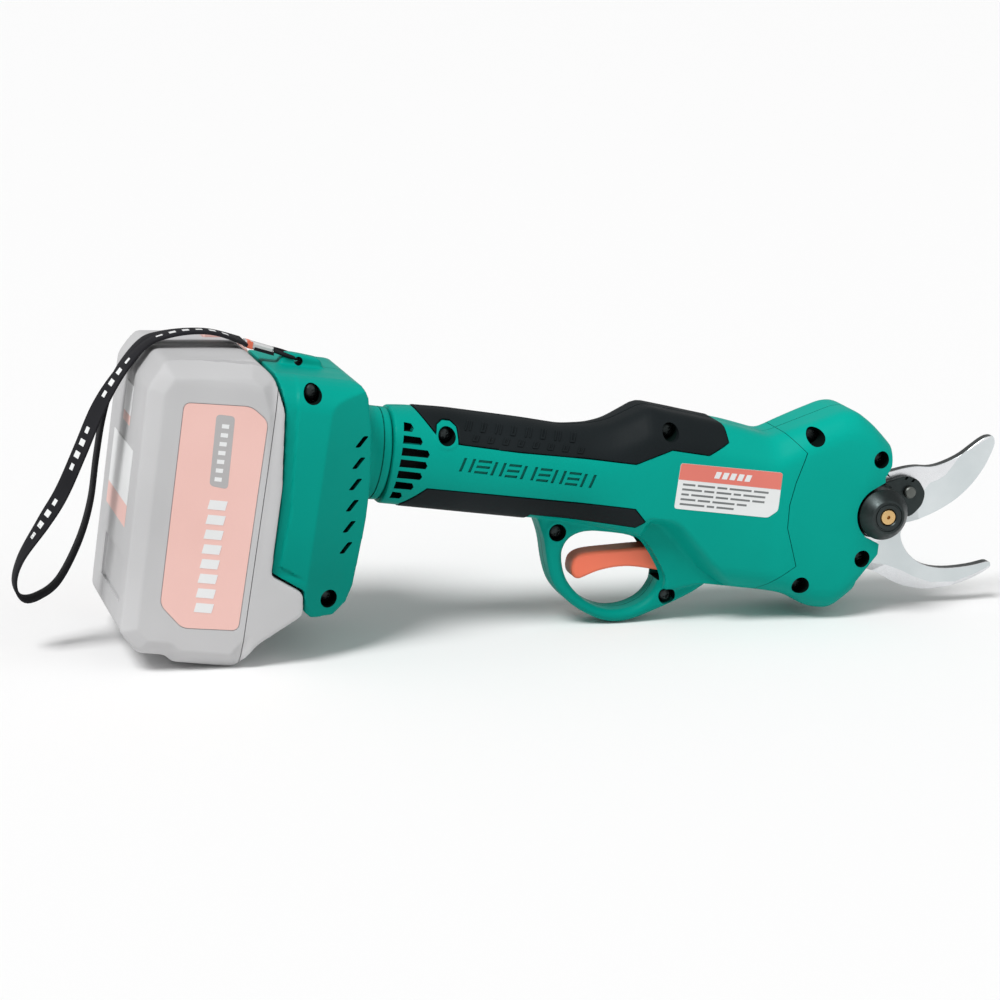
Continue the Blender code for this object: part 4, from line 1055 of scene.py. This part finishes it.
def smooth_route(points, pitch):
    """A Catmull-Rom line through points, walked in even steps."""
    spots = [Vector(point) for point in points]
    fine = []
    for index in range(len(spots) - 1):
        a, b = spots[max(index - 1, 0)], spots[index]
        c, d = spots[index + 1], spots[min(index + 2, len(spots) - 1)]
        for step in range(20):
            t = step / 20
            fine.append(0.5 * ((2 * b) + (c - a) * t + (2 * a - 5 * b + 4 * c - d) * t * t
                               + (3 * b - a - 3 * c + d) * t ** 3))
    fine.append(spots[-1])
    travelled = np.concatenate([[0], np.cumsum([(b - a).length for a, b in zip(fine, fine[1:])])])
    length = travelled[-1]
    walk = np.linspace(0, length, int(length / pitch) + 1)
    columns = np.array([tuple(spot) for spot in fine])
    evenly = [Vector([np.interp(s, travelled, columns[:, axis]) for axis in range(3)]) for s in walk]
    return evenly, length


def strap_frames(route):
    """Along, across and outward directions at each step of the strap."""
    frames = []
    count = len(route) - 1
    for index, here in enumerate(route):
        along = (route[min(index + 1, count)] - route[max(index - 1, 0)]).normalized()
        outward = LEFT_WARD.cross(along).normalized()
        across = along.cross(outward).normalized()
        share = index / count
        twist = math.radians(-26) * eased_step(share, 0.12, 0.24) * eased_step(-share, -0.46, -0.36)
        turn = Matrix.Rotation(float(twist), 3, along)
        frames.append((here, turn @ across, turn @ outward))
    return frames


def ribbon(name, frames, half_width, half_thickness):
    """A flat band with rounded edges."""
    edge = [(-1, -0.6), (-0.9, -1), (0.9, -1), (1, -0.6), (1, 0.6), (0.9, 1), (-0.9, 1), (-1, 0.6)]
    return stacked(name, [
        [here + across * half_width * side + outward * half_thickness * lift for side, lift in edge]
        for here, across, outward in frames])


def strap_marks(frames):
    """Groups of short white dashes on the outer face of the strap's near run."""
    dashes, step = [], 6
    while step < len(frames) * 0.44:
        reach = 1.5 if (step // 4) % 3 else 1.0
        rings = []
        for here, across, outward in frames[step:step + 3]:
            top = here + outward * (STRAP_THICKNESS / 2 + 0.05)
            low = here + outward * (STRAP_THICKNESS / 2 - 0.2)
            rings.append([low - across * reach, top - across * reach, top + across * reach,
                          low + across * reach])
        dashes.append(rings)
        step += 4 if (step // 4) % 6 else 12
    return stacks("wrist_strap_marks", dashes)


def tube(name, line, radius, sides=12):
    """A round cord along a line."""
    rings = []
    last = len(line) - 1
    for index, here in enumerate(line):
        along = (line[min(index + 1, last)] - line[max(index - 1, 0)]).normalized()
        first = along.cross(Vector((0.1, 0.2, 1))).normalized()
        second = along.cross(first)
        rings.append([here + (first * math.cos(turn) + second * math.sin(turn)) * radius
                      for turn in (2 * math.pi * step / sides for step in range(sides))])
    return stacked(name, rings)


def strap():
    """The wrist strap's loop with the ferrule that closes it and the thin cord to the foot's eye."""
    route, length = smooth_route(STRAP_ROUTE, 1.2)
    frames = strap_frames(route)
    loop = ribbon("wrist_strap_loop", frames, STRAP_WIDTH / 2, STRAP_THICKNESS / 2)
    marks = strap_marks(frames)
    sleeve = bevelled_prism(
        "strap_ferrule_visual", [(-254.4, 34.8), (-243.4, 33), (-243.4, 35.6), (-254.4, 37.4)], 2.4, 0.6)
    band = prism(
        "strap_ferrule_band", [(-253.6, 34.6), (-251.4, 34.2), (-251.4, 36.9), (-253.6, 37.3)], -2.5, 2.5)
    core = prism(
        "strap_ferrule_core", [(-250.6, 34), (-243.2, 32.8), (-243.2, 34), (-250.6, 35.2)], -2.5, 2.5)
    cord = tube("strap_cord_visual", smooth_route(CORD_LOOP, 0.6)[0], 0.8)
    for piece, node, finish in (
            (loop, "wrist_strap", WEBBING), (marks, None, LABEL_WHITE), (sleeve, "strap_ferrule", CLEAR),
            (band, None, ORANGE), (core, None, WEBBING), (cord, "strap_cord", WEBBING)):
        place(piece, "handle", node, finish)
    path = [TOOL_MM @ spot for spot in route]
    tuple(path[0])
    [tuple(spot) for spot in path]


def main():
    paint_carried_nodes()
    camera()
    pale_floor()
    studio_light()
    strap()
    housing_and_head()
    grips()
    info_label()
    screws()
    blades()
    pivot()
    trigger()
    foot()
    pack()
    pack_labels()
    rear_stickers()
    pack_buttons()


# ---- view

CAMERA_SPOT = Vector((-484.19, -1033.98, 198.49))
CAMERA_RIGHT = Vector((0.94836, -0.27643, 0.15532))
CAMERA_UP = Vector((-0.09216, 0.22812, 0.96926))
LENS_MM = 105.6
SENSOR_MM = 36


def camera():
    """The camera looks at the tool's right side from a little above and behind."""
    data = bpy.data.cameras.new("camera")
    data.lens = LENS_MM
    data.sensor_width = SENSOR_MM
    item = bpy.data.objects.new("camera", data)
    turn = Matrix((CAMERA_RIGHT, CAMERA_UP, CAMERA_RIGHT.cross(CAMERA_UP))).transposed().to_4x4()
    item.matrix_world = TOOL @ Matrix.Translation(CAMERA_SPOT * MM) @ turn
    bpy.context.scene.collection.objects.link(item)
    bpy.context.scene.camera = item


def pale_floor():
    floor = solid("floor", [(-60, -60, 0), (60, -60, 0), (60, 60, 0), (-60, 60, 0)], [(0, 1, 2, 3)])
    pale, _, _, shader = material("pale_floor")
    shader.inputs["Base Color"].default_value = (0.90, 0.90, 0.90, 1)
    shader.inputs["Roughness"].default_value = 0.9
    shader.inputs["Specular IOR Level"].default_value = 0.2
    floor.data.materials.append(pale)


def studio_light():
    """Even white surroundings, a soft key from behind the shoulder and a weak fill."""
    world = bpy.data.worlds.new("studio")
    world.use_nodes = True
    background = world.node_tree.nodes["Background"]
    background.inputs["Color"].default_value = (1, 1, 1, 1)
    background.inputs["Strength"].default_value = 0.38
    bpy.context.scene.world = world
    for name, towards, strength, angle in (
            ("key", (-0.62, -0.46, 1.1), 2.5, 24), ("fill", (0.9, -0.9, 0.9), 0.4, 60)):
        lamp = bpy.data.lights.new(name, "SUN")
        lamp.energy = strength
        lamp.angle = math.radians(angle)
        item = bpy.data.objects.new(name, lamp)
        item.rotation_euler = (-Vector(towards)).to_track_quat("-Z", "Y").to_euler()
        bpy.context.scene.collection.objects.link(item)
    bpy.context.scene.view_settings.view_transform = "Standard"


main()
